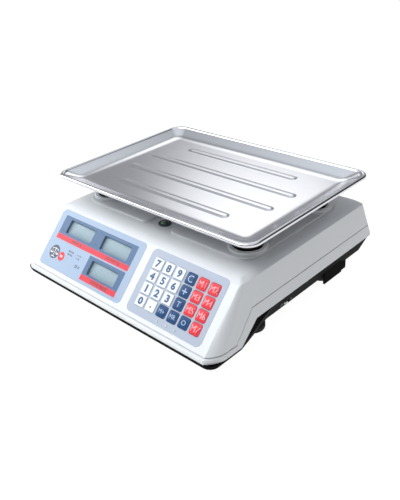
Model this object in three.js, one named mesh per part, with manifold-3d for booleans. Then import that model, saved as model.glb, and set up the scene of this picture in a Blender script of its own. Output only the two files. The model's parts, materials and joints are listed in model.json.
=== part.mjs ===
// A counter-top price-computing scale, as an assembly of separate pieces.
// Millimetres, +Z up, +X to the operator's right, +Y towards the customer.
// The origin is on the counter, below the middle of the case.
import * as THREE from "three";
import { mergeVertices } from "three/addons/utils/BufferGeometryUtils.js";
import Module from "manifold-3d";

const wasm = await Module();
wasm.setup();

// Clearances
const GAP = 0.3; // between pieces that touch
const CUT = 1; // how far a cutting tool runs past the face it cuts

// Case
const DECK_Z = 88;
const DECK_HALF_X = 161.8;
const SIDE_DRAFT = 0.161; // sideways spread of the side walls per millimetre down
const DECK_REAR_Y = 146.9;
const REAR_DRAFT = 0.2765;
const REAR_Y = 161;
const NOSE_Y = -161;
const NOSE_Z = 15;
const CASE_WALL = 2.6;
const CASE_CORNER = 4.5; // radius of the upright rear corners
const DECK_EDGE = 7; // radius between the deck and the console
const DECK_CHAMFER = { height: 4, side: 7.2, rear: 3.7 }; // between the deck and the other walls
const CASE_STEPS = 7; // facets in each upright corner
const CREASE_X = 160; // where the flat console breaks into its rounded side
const CREASE_SWEEP = THREE.MathUtils.degToRad(55); // sweep of that rounded side
const SKIRT_FRONT_Z = 16.3; // lower edge of the case at the front
const SKIRT_SIDE_Z = 37; // lower edge of the case along the sides and rear
const SKIRT_STEP = { frontY: -112, rearY: -82 };
const GROOVE = { width: 1.5, depth: 1.8, frontZ: 23.8, sideZ: 53, frontY: -119, rearY: -87 };

// Console: local x across, y up the slope, z out of the panel
const CONSOLE_SLOPE = THREE.MathUtils.degToRad(45.6);
const CONSOLE_Y = -153.7;
const CONSOLE_Z = 27.6;
const PANEL_LENGTH = 80.9;
const PANEL_CORNER = 7;
const POCKET_DEPTH = 0.9;
const OVERLAY_THICKNESS = 0.6;
const DISPLAY_PANEL = { left: -149, right: 18.1 };
const KEY_PANEL = { left: 29.9, right: 149 };

// Deck
const PLATEAU = {
  inner: 20,
  outer: 145,
  front: -66,
  rear: 124,
  height: 3,
  innerCorner: 9,
  outerCorner: 24,
};
const COLLAR = { outer: 23.5, inner: 18.5, height: 3, ease: 1.2 };
const LEVEL = { x: 0, y: -52, radius: 7, flange: 1.4, bottomZ: 81, vialRadius: 5.2, domeHeight: 2.9 };

// Weighing tray
const TRAY = { halfX: 170, halfY: 120, y: 28.5, rimZ: 129.5, floorZ: 120, corner: 18, sheet: 1 };
const RIB = { width: 13, height: 1.8, flank: 1.6, offsets: [22, 66], halfLengths: [125, 95] };
const POST = { x: 121.5, y: 65 }; // the posts' distances from the tray's middle
const PAD = { radius: 14, bottomZ: 76, topZ: 118.7 };

// Load cell and platform
const CELL = { length: 130, width: 30, height: 22, bottomZ: 30.3, boltX: [45, 57] };
const FLEXURE = { radius: 8, halfSpan: 13, slotHeight: 8 }; // the double hole through the cell
const BOLT = { radius: 3, headRadius: 5, headHeight: 5, recess: 8, socketRadius: 2.5, socketDepth: 3 };
const ARM = { width: 22, bottomZ: 63, thickness: 6, seatRadius: 17 };
const HUB = { left: -44, right: 66, halfDepth: 30, corner: 8 };
const CELL_END = 8; // from the inner bolt of a pair to the end of its seat
const CELL_CLEARANCE = 0.9; // room over the cell for the platform to sink under load

// Base
const BASE_Z = 10;
const BASE_WALL = 2.5;
const BASE = { halfX: 157, topHalfX: 168.8, rearY: 156.5, topRearY: 159.8, corner: 6 };
const LIP = { halfX: 171, topHalfX: 172.8, frontY: -159.6, topFrontY: -160.6, corner: 12 };
const FLARE = { frontY: -110, rearY: -50 }; // where the base's sides spread out to its front lip
const FOOT = { x: 143, frontY: -58.5, rearY: 84, radius: 16, height: 7, studRadius: 3.9 };
const FOOT_BOSS = { radius: 9, height: 12 };
const SKID = { near: 133, far: 159, rearY: 120, bottomZ: 1.5, corner: 3, footClearance: 2.5 };
const SKID_GUARD = { near: 159.6, far: 162, frontY: 64, rearY: 103, bottomZ: 3, topZ: 21 };
const SCREW_POST = { x: 146, y: [18, 132], radius: 4.5 };
const HATCH = { left: -114, right: -8, front: -98, rear: -22, corner: 5 };
const GRIP = { halfWidth: 10, front: 9, rear: 4, depth: 1.2 }; // the hatch's finger recess
const BATTERY = { margin: 4, depth: 70, height: 43, lift: 1 };
const BLADE = { offset: 22, width: 4.8, thickness: 0.8, inset: 12, height: 6 };
const BOARD = { left: 14, right: 124, front: -96, rear: -26, standoff: 6, thickness: 1.6 };
const BOARD_BLOCKS = {
  transformer: [88, -66, 118, -32, 26],
  processor: [40, -72, 54, -58, 2],
  displayConnector: [18, -38, 48, -32, 8],
  cellConnector: [58, -38, 80, -32, 8],
}; // left, front, right, rear and height of the larger components
const CAPACITOR = { x: [64, 76], y: -82, radius: 5, height: 16 };
const BOARD_PEG = { x: [26, 112], y: [-90, -30], radius: 3 };
const SWITCH = { y: -15.5, z: 19, slotLength: 10.5, slotHeight: 4.2 };
const SWITCH_BODY = { inset: 9, depth: 8, halfLength: 11, halfHeight: 4.5 };
const SWITCH_TRACK = { depth: 4, halfLength: 4.4, halfHeight: 1.8 };
const KNOB = { y: -2, reach: 6, thickness: 3, halfLength: 2.2, halfHeight: 1.6 };
const INLET = { x: -96, z: 24, width: 27, height: 19, rearY: 156.5, depth: 14 };
const INLET_SOCKET = { width: 21, height: 12, depth: 11 };
const INLET_PIN = { pitch: 6, width: 2, height: 4, length: 9 };

// Customer's display in the rear wall
const CUSTOMER = { halfX: 116, lowZ: 50, highZ: 78, depth: 4.5 };
const CUSTOMER_CELL = { pitch: 74, halfWidth: 27, halfHeight: 9, depth: 9 };

// Keys
const KEY = { width: 14.3, depth: 13.8, corner: 1.8, bottom: -3.9, top: 1.2, edge: 0.6 };
const KEY_GRID = { x: 46.9, y: 64.05, pitchX: 17.43, pitchY: 15.7 };
const KEY_HOLE_CLEARANCE = 0.35;
const KEY_BOARD = { margin: 3, drop: 1.2, thickness: 1.6 };
const CABLE_SOCKET = { halfWidth: 16, front: 8, rear: 3, height: 6 };
const KEY_NAMES = [
  ["7", "8", "9", "clear", "m1", "m2"],
  ["4", "5", "6", "add", "m3", "m4"],
  ["1", "2", "3", "tare", "m5", "m6"],
  ["0", "point", "save", "recall", "zero", "m7"],
];

// Windows in the display panel: centre and size in the console's frame
const WINDOWS = {
  lcd_weight: { x: -100, y: 60, width: 52, height: 18.8 },
  lcd_unit_price: { x: -28.8, y: 59.4, width: 52, height: 18.8 },
  lcd_total_price: { x: -29.5, y: 23.8, width: 52, height: 18.8 },
};
const CELL_FRAME = { border: 1.6, thickness: 6, glassDepth: 4.2 };
const LIGHTS = { x: [81.3, 95.3, 108.8], y: 4.6, radius: 1.3, border: 0.9, rise: 0.4 };

const MATERIALS = {
  caseWhite: { color: 0xe6e9ed, roughness: 0.38, metalness: 0 },
  baseBlack: { color: 0x141416, roughness: 0.55, metalness: 0 },
  steel: { color: 0xc9c9cd, roughness: 0.22, metalness: 1 },
  aluminium: { color: 0xb4b7ba, roughness: 0.4, metalness: 1 },
  rubber: { color: 0x101010, roughness: 0.85, metalness: 0 },
  overlayBlue: { color: 0xb2cdeb, roughness: 0.35, metalness: 0 },
  overlayLilac: { color: 0xb9c6de, roughness: 0.35, metalness: 0 },
  lcd: { color: 0xa8bec6, roughness: 0.15, metalness: 0 },
  board: { color: 0x1f5a34, roughness: 0.5, metalness: 0 },
  keyWhite: { color: 0xf2f4f8, roughness: 0.4, metalness: 0 },
  keyNavy: { color: 0x305486, roughness: 0.4, metalness: 0 },
  keyRed: { color: 0xf54650, roughness: 0.4, metalness: 0 },
  level: { color: 0x9fd84a, roughness: 0.1, metalness: 0 },
  battery: { color: 0x2b2d31, roughness: 0.5, metalness: 0 },
};

// ---------------------------------------------------------------- helpers

/** A manifold-3d solid from a closed geometry. */
function solid(geometry) {
  const bare = geometry.index ? geometry.toNonIndexed() : geometry.clone();
  bare.deleteAttribute("normal");
  bare.deleteAttribute("uv");
  const merged = mergeVertices(bare, 1e-4);
  return new wasm.Manifold(
    new wasm.Mesh({
      numProp: 3,
      vertProperties: merged.attributes.position.array,
      triVerts: new Uint32Array(merged.index.array),
    }),
  );
}

/** The geometry of a manifold-3d solid. */
function geometryOf(made) {
  const mesh = made.getMesh();
  const geometry = new THREE.BufferGeometry();
  geometry.setAttribute("position", new THREE.BufferAttribute(mesh.vertProperties, 3));
  geometry.setIndex(new THREE.BufferAttribute(mesh.triVerts, 1));
  geometry.computeVertexNormals();
  return geometry;
}

const join = (first, ...rest) => rest.reduce((sum, next) => sum.add(next), first);
const cut = (first, ...rest) => rest.reduce((left, next) => left.subtract(next), first);

/** The fractions 0 to 1 in a number of equal steps. */
const steps = (count) => Array.from({ length: count + 1 }, (_, i) => i / count);

/** A rounded rectangle at height z, anticlockwise seen from above. */
function ring({ left, right, front, rear, radius, z, arc = 5 }) {
  const corners = [
    [right - radius, rear - radius],
    [left + radius, rear - radius],
    [left + radius, front + radius],
    [right - radius, front + radius],
  ];
  return corners.flatMap(([x, y], quarter) =>
    steps(arc).map((part) => {
      const angle = ((quarter + part) * Math.PI) / 2;
      return new THREE.Vector3(x + radius * Math.cos(angle), y + radius * Math.sin(angle), z);
    }),
  );
}

/** A closed body through a stack of rings, from the first to the last. */
function loft(rings) {
  const count = rings[0].length;
  const points = rings.flat();
  const middle = (loop) =>
    loop.reduce((sum, p) => sum.add(p), new THREE.Vector3()).divideScalar(loop.length);
  points.push(middle(rings[0]), middle(rings.at(-1)));
  const first = points.length - 2;
  const last = points.length - 1;
  const index = [];
  for (let i = 0; i < count; i++) {
    const j = (i + 1) % count;
    index.push(first, j, i);
    for (let level = 0; level < rings.length - 1; level++) {
      const low = level * count;
      const high = low + count;
      index.push(low + i, low + j, high + j, low + i, high + j, high + i);
    }
    const top = (rings.length - 1) * count;
    index.push(last, top + i, top + j);
  }
  const geometry = new THREE.BufferGeometry().setFromPoints(points);
  geometry.setIndex(index);
  return solid(geometry);
}

/** A rounded plate between two heights, with its upper edge eased when asked. */
function plate({ bottom, top, ease = 0, ...outline }) {
  const rings = [ring({ ...outline, z: bottom })];
  if (ease === 0) {
    rings.push(ring({ ...outline, z: top }));
    return loft(rings);
  }
  for (const angle of [0, Math.PI / 4, Math.PI / 2]) {
    const inset = ease * (1 - Math.cos(angle));
    rings.push(
      ring({
        ...outline,
        left: outline.left + inset,
        right: outline.right - inset,
        front: outline.front + inset,
        rear: outline.rear - inset,
        radius: Math.max(outline.radius - inset, 0.1),
        z: top - ease * (1 - Math.sin(angle)),
      }),
    );
  }
  return loft(rings);
}

/** A box between two corners. */
function block(x0, y0, z0, x1, y1, z1) {
  const geometry = new THREE.BoxGeometry(x1 - x0, y1 - y0, z1 - z0);
  geometry.translate((x0 + x1) / 2, (y0 + y1) / 2, (z0 + z1) / 2);
  return solid(geometry);
}

/** An upright cylinder between two heights. */
function post(radius, x, y, z0, z1, sides = 24) {
  const geometry = new THREE.CylinderGeometry(radius, radius, z1 - z0, sides);
  geometry.rotateX(Math.PI / 2);
  geometry.translate(x, y, (z0 + z1) / 2);
  return solid(geometry);
}

/** A body of revolution about an upright axis; the profile lists [radius, z] from the axis and back. */
function turned(profile, x, y, sides = 24) {
  const geometry = new THREE.LatheGeometry(
    profile.map(([radius, z]) => new THREE.Vector2(radius, z)),
    sides,
  );
  geometry.rotateX(Math.PI / 2);
  geometry.translate(x, y, 0);
  return solid(geometry);
}

/** A prism along X whose section is a list of [y, z] corners. */
function prismAlongX(section, x0, x1) {
  const shape = new THREE.Shape(section.map(([y, z]) => new THREE.Vector2(y, z)));
  const geometry = new THREE.ExtrudeGeometry(shape, { depth: x1 - x0, bevelEnabled: false });
  geometry.applyMatrix4(new THREE.Matrix4().set(0, 0, 1, x0, 1, 0, 0, 0, 0, 1, 0, 0, 0, 0, 0, 1));
  return solid(geometry);
}

const consoleMatrix = new THREE.Matrix4()
  .makeTranslation(0, CONSOLE_Y, CONSOLE_Z)
  .multiply(new THREE.Matrix4().makeRotationX(CONSOLE_SLOPE));

/** Moves a solid from the console's frame into the case's frame. */
const onConsole = (made) => solid(geometryOf(made).applyMatrix4(consoleMatrix));

const assembly = new THREE.Group();
const consoleGroup = new THREE.Group();
consoleGroup.position.set(0, CONSOLE_Y, CONSOLE_Z);
consoleGroup.rotation.x = CONSOLE_SLOPE;
assembly.add(consoleGroup);

/** Adds one named piece to a group. */
function piece(name, made, material, group = assembly) {
  const mesh = new THREE.Mesh(geometryOf(made), new THREE.MeshStandardMaterial(MATERIALS[material]));
  mesh.name = name;
  group.add(mesh);
}

// ---------------------------------------------------------------- case

/** The case's outline at one height, moved inwards by an inset. */
function caseRing(z, inset) {
  const deck = DECK_Z - inset;
  const intoEdge = Math.max(z - (deck - DECK_EDGE), 0);
  const rounding = DECK_EDGE - Math.sqrt(Math.max(DECK_EDGE ** 2 - intoEdge ** 2, 0));
  const chamfer = Math.max(z - (deck - DECK_CHAMFER.height), 0) / DECK_CHAMFER.height;
  const slopeInset = (inset + rounding) / Math.sin(CONSOLE_SLOPE);
  const slopeY = CONSOLE_Y + (z - CONSOLE_Z) / Math.tan(CONSOLE_SLOPE) + slopeInset;
  const noseY = NOSE_Y + inset + Math.max(NOSE_Z + 4 - z, 0) * 0.2;
  const front = Math.max(slopeY, noseY);
  const wallY = Math.min(REAR_Y, DECK_REAR_Y + (DECK_Z - z) * REAR_DRAFT);
  const rear = wallY - inset - chamfer * DECK_CHAMFER.rear;
  const halfX = DECK_HALF_X + (DECK_Z - z) * SIDE_DRAFT - inset - chamfer * DECK_CHAMFER.side;
  const crease = Math.min(CREASE_X - inset, halfX - 2);
  const sideRadius = (halfX - crease) / (1 - Math.cos(CREASE_SWEEP));
  const frontCorner = (angle) => [
    halfX - sideRadius * (1 - Math.cos(angle)),
    front + sideRadius * (Math.sin(CREASE_SWEEP) - Math.sin(angle)),
  ];
  const corner = CASE_CORNER - inset;
  const rearCorner = (angle) => [
    halfX - corner * (1 - Math.cos(angle)),
    rear - corner * (1 - Math.sin(angle)),
  ];
  const right = [
    ...steps(CASE_STEPS).map((part) => frontCorner(CREASE_SWEEP * (1 - part))),
    ...steps(CASE_STEPS).map((part) => rearCorner((Math.PI / 2) * part)),
  ];
  const left = right.toReversed().map(([x, y]) => [-x, y]);
  return [...right, ...left].map(([x, y]) => new THREE.Vector3(x, y, z));
}

/** The case as a full body, offset inwards by an inset. */
function caseBody(inset, bottom) {
  const deck = DECK_Z - inset;
  const chamferStart = 1 - DECK_CHAMFER.height / DECK_EDGE;
  const edge = [0, chamferStart, 0.7, 0.9, 1].map((part) => deck - DECK_EDGE + part * DECK_EDGE);
  const levels = [bottom, NOSE_Z + 4, 21, 39.5, ...edge];
  return loft(levels.map((z) => caseRing(z, inset)));
}

/** Everything below a line that steps down towards the front. */
function belowLine({ sideZ, frontZ, rearY, frontY }) {
  const far = 200;
  return prismAlongX(
    [
      [-far, -CUT],
      [far, -CUT],
      [far, sideZ],
      [rearY, sideZ],
      [frontY, frontZ],
      [-far, frontZ],
    ],
    -far,
    far,
  );
}

/** Everything below the case's lower edge, lowered by a drop. */
function belowSkirt(drop) {
  return belowLine({ sideZ: SKIRT_SIDE_Z - drop, frontZ: SKIRT_FRONT_Z - drop, ...SKIRT_STEP });
}

const postPlaces = [-1, 1].flatMap((side) =>
  [-1, 1].map((end) => [side * POST.x, TRAY.y + end * POST.y]),
);

/** One raised area of the deck on the given side, with tight inner and wide outer corners. */
function plateau(side) {
  const between = (near, far, radius) =>
    plate({
      left: Math.min(side * near, side * far),
      right: Math.max(side * near, side * far),
      front: PLATEAU.front,
      rear: PLATEAU.rear,
      radius,
      bottom: DECK_Z - CUT,
      top: DECK_Z + PLATEAU.height,
      ease: 2,
    });
  const third = (PLATEAU.outer - PLATEAU.inner) / 3;
  return join(
    between(PLATEAU.inner, PLATEAU.outer - third, PLATEAU.innerCorner),
    between(PLATEAU.inner + third, PLATEAU.outer, PLATEAU.outerCorner),
  );
}

/** The groove that runs round the case above its lower edge. */
function groove() {
  const { width, depth, ...line } = GROOVE;
  const lower = { ...line, sideZ: line.sideZ - width, frontZ: line.frontZ - width };
  return cut(belowLine(line), belowLine(lower), caseBody(depth, 0));
}

/** A sticker pocket or opening in the console panel. */
function panelCut(left, right, front, rear, radius, depth) {
  return onConsole(plate({ left, right, front, rear, radius, bottom: -depth, top: CUT }));
}

/** The opening in the console under one window, enlarged by a clearance. */
function windowCut(window, clearance) {
  return panelCut(
    window.x - window.width / 2 - clearance,
    window.x + window.width / 2 + clearance,
    window.y - window.height / 2 - clearance,
    window.y + window.height / 2 + clearance,
    1,
    CASE_WALL + 2 * CUT,
  );
}

function upperHousing() {
  let shell = cut(caseBody(0, NOSE_Z), caseBody(CASE_WALL, NOSE_Z - CUT), belowSkirt(0), groove());
  shell = join(shell, plateau(-1), plateau(1));
  const top = DECK_Z + PLATEAU.height;
  for (const [x, y] of postPlaces) {
    const profile = [
      [0, DECK_Z - CUT],
      [COLLAR.outer, DECK_Z - CUT],
      [COLLAR.outer, top + COLLAR.height - COLLAR.ease],
      [COLLAR.outer - COLLAR.ease, top + COLLAR.height],
      [0, top + COLLAR.height],
    ];
    shell = join(shell, turned(profile, x, y, 28));
    shell = cut(shell, post(COLLAR.inner, x, y, DECK_Z - 2 * DECK_EDGE, top + 2 * COLLAR.height, 28));
  }
  for (const panel of [DISPLAY_PANEL, KEY_PANEL]) {
    shell = cut(shell, panelCut(panel.left, panel.right, 0, PANEL_LENGTH, PANEL_CORNER, POCKET_DEPTH));
  }
  for (const window of Object.values(WINDOWS)) {
    shell = cut(shell, windowCut(window, CELL_FRAME.border + GAP));
  }
  const keys = keyField(1.5);
  shell = cut(shell, panelCut(keys.left, keys.right, keys.front, keys.rear, 2, CASE_WALL + 2 * CUT));
  const { left, right, front, rear } = lightBar(GAP);
  shell = cut(shell, panelCut(left, right, front, rear, 1, CASE_WALL + 2 * CUT));
  shell = cut(shell, post(LEVEL.radius + GAP, LEVEL.x, LEVEL.y, DECK_Z - 2 * DECK_EDGE, DECK_Z + CUT));
  return cut(shell, customerCut(GAP, REAR_Y + CUT));
}

// ---------------------------------------------------------------- console pieces

/** The rectangle around all the keys, enlarged by a margin. */
function keyField(margin) {
  const columns = KEY_NAMES[0].length - 1;
  const rows = KEY_NAMES.length - 1;
  return {
    left: KEY_GRID.x - KEY.width / 2 - margin,
    right: KEY_GRID.x + columns * KEY_GRID.pitchX + KEY.width / 2 + margin,
    front: KEY_GRID.y - rows * KEY_GRID.pitchY - KEY.depth / 2 - margin,
    rear: KEY_GRID.y + KEY.depth / 2 + margin,
  };
}

/** The rectangle of the light guide behind the indicators, enlarged by a margin. */
function lightBar(margin) {
  const half = LIGHTS.radius + LIGHTS.border;
  return {
    left: LIGHTS.x[0] - half - margin,
    right: LIGHTS.x.at(-1) + half + margin,
    front: LIGHTS.y - half - margin,
    rear: LIGHTS.y + half + margin,
  };
}

/** A sticker lying in its pocket in the console. */
function sticker(panel) {
  return plate({
    left: panel.left + GAP,
    right: panel.right - GAP,
    front: GAP,
    rear: PANEL_LENGTH - GAP,
    radius: PANEL_CORNER - GAP,
    bottom: -OVERLAY_THICKNESS,
    top: 0,
  });
}

function displayOverlay() {
  let sheet = sticker(DISPLAY_PANEL);
  for (const { x, y, width, height } of Object.values(WINDOWS)) {
    const hole = {
      left: x - width / 2,
      right: x + width / 2,
      front: y - height / 2,
      rear: y + height / 2,
      radius: 0.8,
    };
    sheet = cut(sheet, plate({ ...hole, bottom: -CUT, top: CUT, arc: 2 }));
  }
  return sheet;
}

const keyPlaces = KEY_NAMES.flatMap((names, row) =>
  names.map((name, column) => ({
    name,
    column,
    x: KEY_GRID.x + column * KEY_GRID.pitchX,
    y: KEY_GRID.y - row * KEY_GRID.pitchY,
  })),
);

/** The outline of a key centred on a place, enlarged by a clearance. */
function keyOutline({ x, y }, clearance) {
  return {
    left: x - KEY.width / 2 - clearance,
    right: x + KEY.width / 2 + clearance,
    front: y - KEY.depth / 2 - clearance,
    rear: y + KEY.depth / 2 + clearance,
    radius: KEY.corner + clearance,
    arc: 2,
  };
}

function keypadOverlay() {
  let sheet = sticker(KEY_PANEL);
  for (const place of keyPlaces) {
    const hole = keyOutline(place, KEY_HOLE_CLEARANCE);
    sheet = cut(sheet, plate({ ...hole, bottom: -CUT, top: CUT }));
  }
  for (const x of LIGHTS.x) {
    sheet = cut(sheet, post(LIGHTS.radius + GAP, x, LIGHTS.y, -CUT, CUT, 12));
  }
  return sheet;
}

function indicatorLights() {
  const bar = plate({ ...lightBar(0), radius: 0.8, bottom: -3.5, top: -POCKET_DEPTH, arc: 2 });
  const tips = LIGHTS.x.map((x) => post(LIGHTS.radius, x, LIGHTS.y, -2, LIGHTS.rise, 12));
  return join(bar, ...tips);
}

/** The key switch board under the keys, with its flat cable connector. */
function keypadBoard() {
  const field = keyField(KEY_BOARD.margin);
  const top = KEY.bottom - KEY_BOARD.drop;
  const board = plate({ ...field, radius: 2, bottom: top - KEY_BOARD.thickness, top, arc: 2 });
  const middle = (field.left + field.right) / 2;
  const socket = block(
    middle - CABLE_SOCKET.halfWidth,
    field.rear - CABLE_SOCKET.front,
    top - CUT - CABLE_SOCKET.height,
    middle + CABLE_SOCKET.halfWidth,
    field.rear - CABLE_SOCKET.rear,
    top - CUT,
  );
  return join(board, socket);
}

function key(place) {
  return plate({ ...keyOutline(place, 0), bottom: KEY.bottom, top: KEY.top, ease: KEY.edge });
}

/** A display cell in its frame, whose glass lies some way below its window. */
function displayCell({ x, y, width, height }) {
  const outline = (border) => ({
    left: x - width / 2 - border,
    right: x + width / 2 + border,
    front: y - height / 2 - border,
    rear: y + height / 2 + border,
    radius: 0.6,
    arc: 2,
  });
  const bottom = -POCKET_DEPTH - CELL_FRAME.thickness;
  const frame = plate({ ...outline(CELL_FRAME.border), bottom, top: -POCKET_DEPTH });
  return cut(frame, plate({ ...outline(0), bottom: -CELL_FRAME.glassDepth, top: CUT }));
}

// ---------------------------------------------------------------- customer side

/** A slab across the rear wall, from its inside to the given y, enlarged by a clearance. */
function customerCut(clearance, rearY) {
  return block(
    -CUSTOMER.halfX - clearance,
    REAR_Y - 24,
    CUSTOMER.lowZ - clearance,
    CUSTOMER.halfX + clearance,
    rearY,
    CUSTOMER.highZ + clearance,
  );
}

/** The customer's display: a window strip set into the sloping rear wall, with its three cells. */
function customerDisplay() {
  const wallY = (z) => DECK_REAR_Y + (DECK_Z - z) * REAR_DRAFT;
  const low = CUSTOMER.lowZ;
  const high = CUSTOMER.highZ;
  const strip = prismAlongX(
    [
      [wallY(low) - CUSTOMER.depth, low],
      [wallY(low), low],
      [wallY(high), high],
      [wallY(high) - CUSTOMER.depth, high],
    ],
    -CUSTOMER.halfX,
    CUSTOMER.halfX,
  );
  const middle = (low + high) / 2;
  const cells = [-1, 0, 1].map((place) =>
    block(
      place * CUSTOMER_CELL.pitch - CUSTOMER_CELL.halfWidth,
      wallY(middle) - CUSTOMER_CELL.depth,
      middle - CUSTOMER_CELL.halfHeight,
      place * CUSTOMER_CELL.pitch + CUSTOMER_CELL.halfWidth,
      wallY(middle) - CUSTOMER.depth + 2,
      middle + CUSTOMER_CELL.halfHeight,
    ),
  );
  return join(strip, ...cells);
}

// ---------------------------------------------------------------- weighing tray

/** The tray's outline moved inwards by an inset, at height z. */
function trayRing(inset, z) {
  return ring({
    left: -TRAY.halfX + inset,
    right: TRAY.halfX - inset,
    front: TRAY.y - TRAY.halfY + inset,
    rear: TRAY.y + TRAY.halfY - inset,
    radius: Math.max(TRAY.corner - 0.55 * inset, 6),
    z,
    arc: 6,
  });
}

/** A pressed rib, as the space between the floor and the rib's crown. */
function ribBody(offset, halfLength, shrink, baseZ) {
  const profile = [
    [0, 0],
    [RIB.flank / 2, RIB.height - 0.4],
    [RIB.flank, RIB.height],
  ];
  const rings = profile.map(([inset, rise]) => {
    const half = RIB.width / 2 - inset - shrink;
    return ring({
      left: -halfLength + inset + shrink,
      right: halfLength - inset - shrink,
      front: TRAY.y + offset - half,
      rear: TRAY.y + offset + half,
      radius: half - 0.05,
      z: baseZ + rise,
      arc: 4,
    });
  });
  return loft(rings);
}

function weighingTray() {
  const rim = TRAY.rimZ;
  const floor = TRAY.floorZ;
  const under = floor - TRAY.sheet;
  let tray = loft([
    trayRing(27, under),
    trayRing(23.5, under + 0.5),
    trayRing(6.8, rim - 2.6),
    trayRing(4.6, rim - 1.1),
    trayRing(1.2, rim - 1.1),
    trayRing(1.1, rim - 4.6),
    trayRing(0.1, rim - 4.6),
    trayRing(0, rim - 1.1),
    trayRing(1.1, rim),
    trayRing(4.8, rim),
    trayRing(7.4, rim - 1.6),
    trayRing(23.8, floor + 0.6),
    trayRing(27.3, floor),
  ]);
  RIB.offsets.forEach((distance, i) => {
    for (const offset of [-distance, distance]) {
      tray = join(tray, ribBody(offset, RIB.halfLengths[i], 0, floor - 0.2));
      tray = cut(tray, ribBody(offset, RIB.halfLengths[i], TRAY.sheet, under - 0.2));
    }
  });
  return tray;
}

// ---------------------------------------------------------------- platform and load cell

const cellTopZ = CELL.bottomZ + CELL.height;
const armTopZ = ARM.bottomZ + ARM.thickness;

/** A tall rubber buffer that stands on the platform and carries one corner of the tray. */
function trayPad([x, y]) {
  const profile = [
    [0, PAD.bottomZ],
    [PAD.radius - 2, PAD.bottomZ],
    [PAD.radius - 2, PAD.topZ - 9],
    [PAD.radius, PAD.topZ - 7],
    [PAD.radius, PAD.topZ - 1.5],
    [PAD.radius - 1.5, PAD.topZ],
    [0, PAD.topZ],
  ];
  return turned(profile, x, y, 24);
}

/** A flat bar between two points, at the height of the platform's arms. */
function arm([x, y]) {
  const length = Math.hypot(x, y - TRAY.y);
  const geometry = new THREE.BoxGeometry(length, ARM.width, ARM.thickness);
  geometry.translate(length / 2, 0, ARM.bottomZ + ARM.thickness / 2);
  geometry.rotateZ(Math.atan2(y - TRAY.y, x));
  geometry.translate(0, TRAY.y, 0);
  return solid(geometry);
}

function platformSpider() {
  const hub = plate({
    left: HUB.left,
    right: HUB.right,
    front: TRAY.y - HUB.halfDepth,
    rear: TRAY.y + HUB.halfDepth,
    radius: HUB.corner,
    bottom: ARM.bottomZ,
    top: armTopZ,
  });
  const boss = block(
    CELL.boltX[0] - CELL_END,
    TRAY.y - CELL.width / 2,
    cellTopZ + CELL_CLEARANCE,
    CELL.length / 2,
    TRAY.y + CELL.width / 2,
    armTopZ,
  );
  const seats = postPlaces.map(([x, y]) => post(ARM.seatRadius, x, y, ARM.bottomZ, PAD.bottomZ - GAP));
  const low = cellTopZ - CUT;
  const holes = CELL.boltX.map((x) => post(BOLT.radius + GAP, x, TRAY.y, low, armTopZ + CUT, 16));
  return cut(join(hub, boss, ...postPlaces.map(arm), ...seats), ...holes);
}

function loadCell() {
  const half = CELL.length / 2;
  const low = CELL.bottomZ;
  const middle = low + CELL.height / 2;
  const bar = block(-half, TRAY.y - CELL.width / 2, low, half, TRAY.y + CELL.width / 2, cellTopZ);
  const acrossBar = (radius, x, z) => {
    const geometry = new THREE.CylinderGeometry(radius, radius, CELL.width + 2 * CUT, 20);
    geometry.translate(0, TRAY.y, 0);
    return solid(geometry.translate(x, 0, z));
  };
  const flexure = join(
    acrossBar(FLEXURE.radius, -FLEXURE.halfSpan, middle),
    acrossBar(FLEXURE.radius, FLEXURE.halfSpan, middle),
    block(
      -FLEXURE.halfSpan,
      TRAY.y - half,
      middle - FLEXURE.slotHeight / 2,
      FLEXURE.halfSpan,
      TRAY.y + half,
      middle + FLEXURE.slotHeight / 2,
    ),
  );
  const holes = [-1, 1].flatMap((side) =>
    CELL.boltX.map((x) => post(BOLT.radius + GAP, side * x, TRAY.y, low - CUT, cellTopZ + CUT, 16)),
  );
  return cut(bar, flexure, ...holes);
}

/** A socket-head bolt; direction is 1 with the head on top and -1 with it below. */
function bolt(x, seatZ, tipZ, direction) {
  const along = (radius, from, to, sides) =>
    post(radius, x, TRAY.y, Math.min(from, to), Math.max(from, to), sides);
  const end = seatZ + BOLT.headHeight * direction;
  const shank = along(BOLT.radius, seatZ, tipZ, 16);
  const head = along(BOLT.headRadius, seatZ - 0.1 * direction, end, 16);
  const socket = along(
    BOLT.socketRadius,
    end - BOLT.socketDepth * direction,
    end + CUT * direction,
    6,
  );
  return cut(join(shank, head), socket);
}

// ---------------------------------------------------------------- base

const footPlaces = [-1, 1].flatMap((side) =>
  [FOOT.frontY, FOOT.rearY].map((y) => [side * FOOT.x, y]),
);
const screwPosts = [-1, 1].flatMap((side) => SCREW_POST.y.map((y) => [side * SCREW_POST.x, y]));

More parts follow.
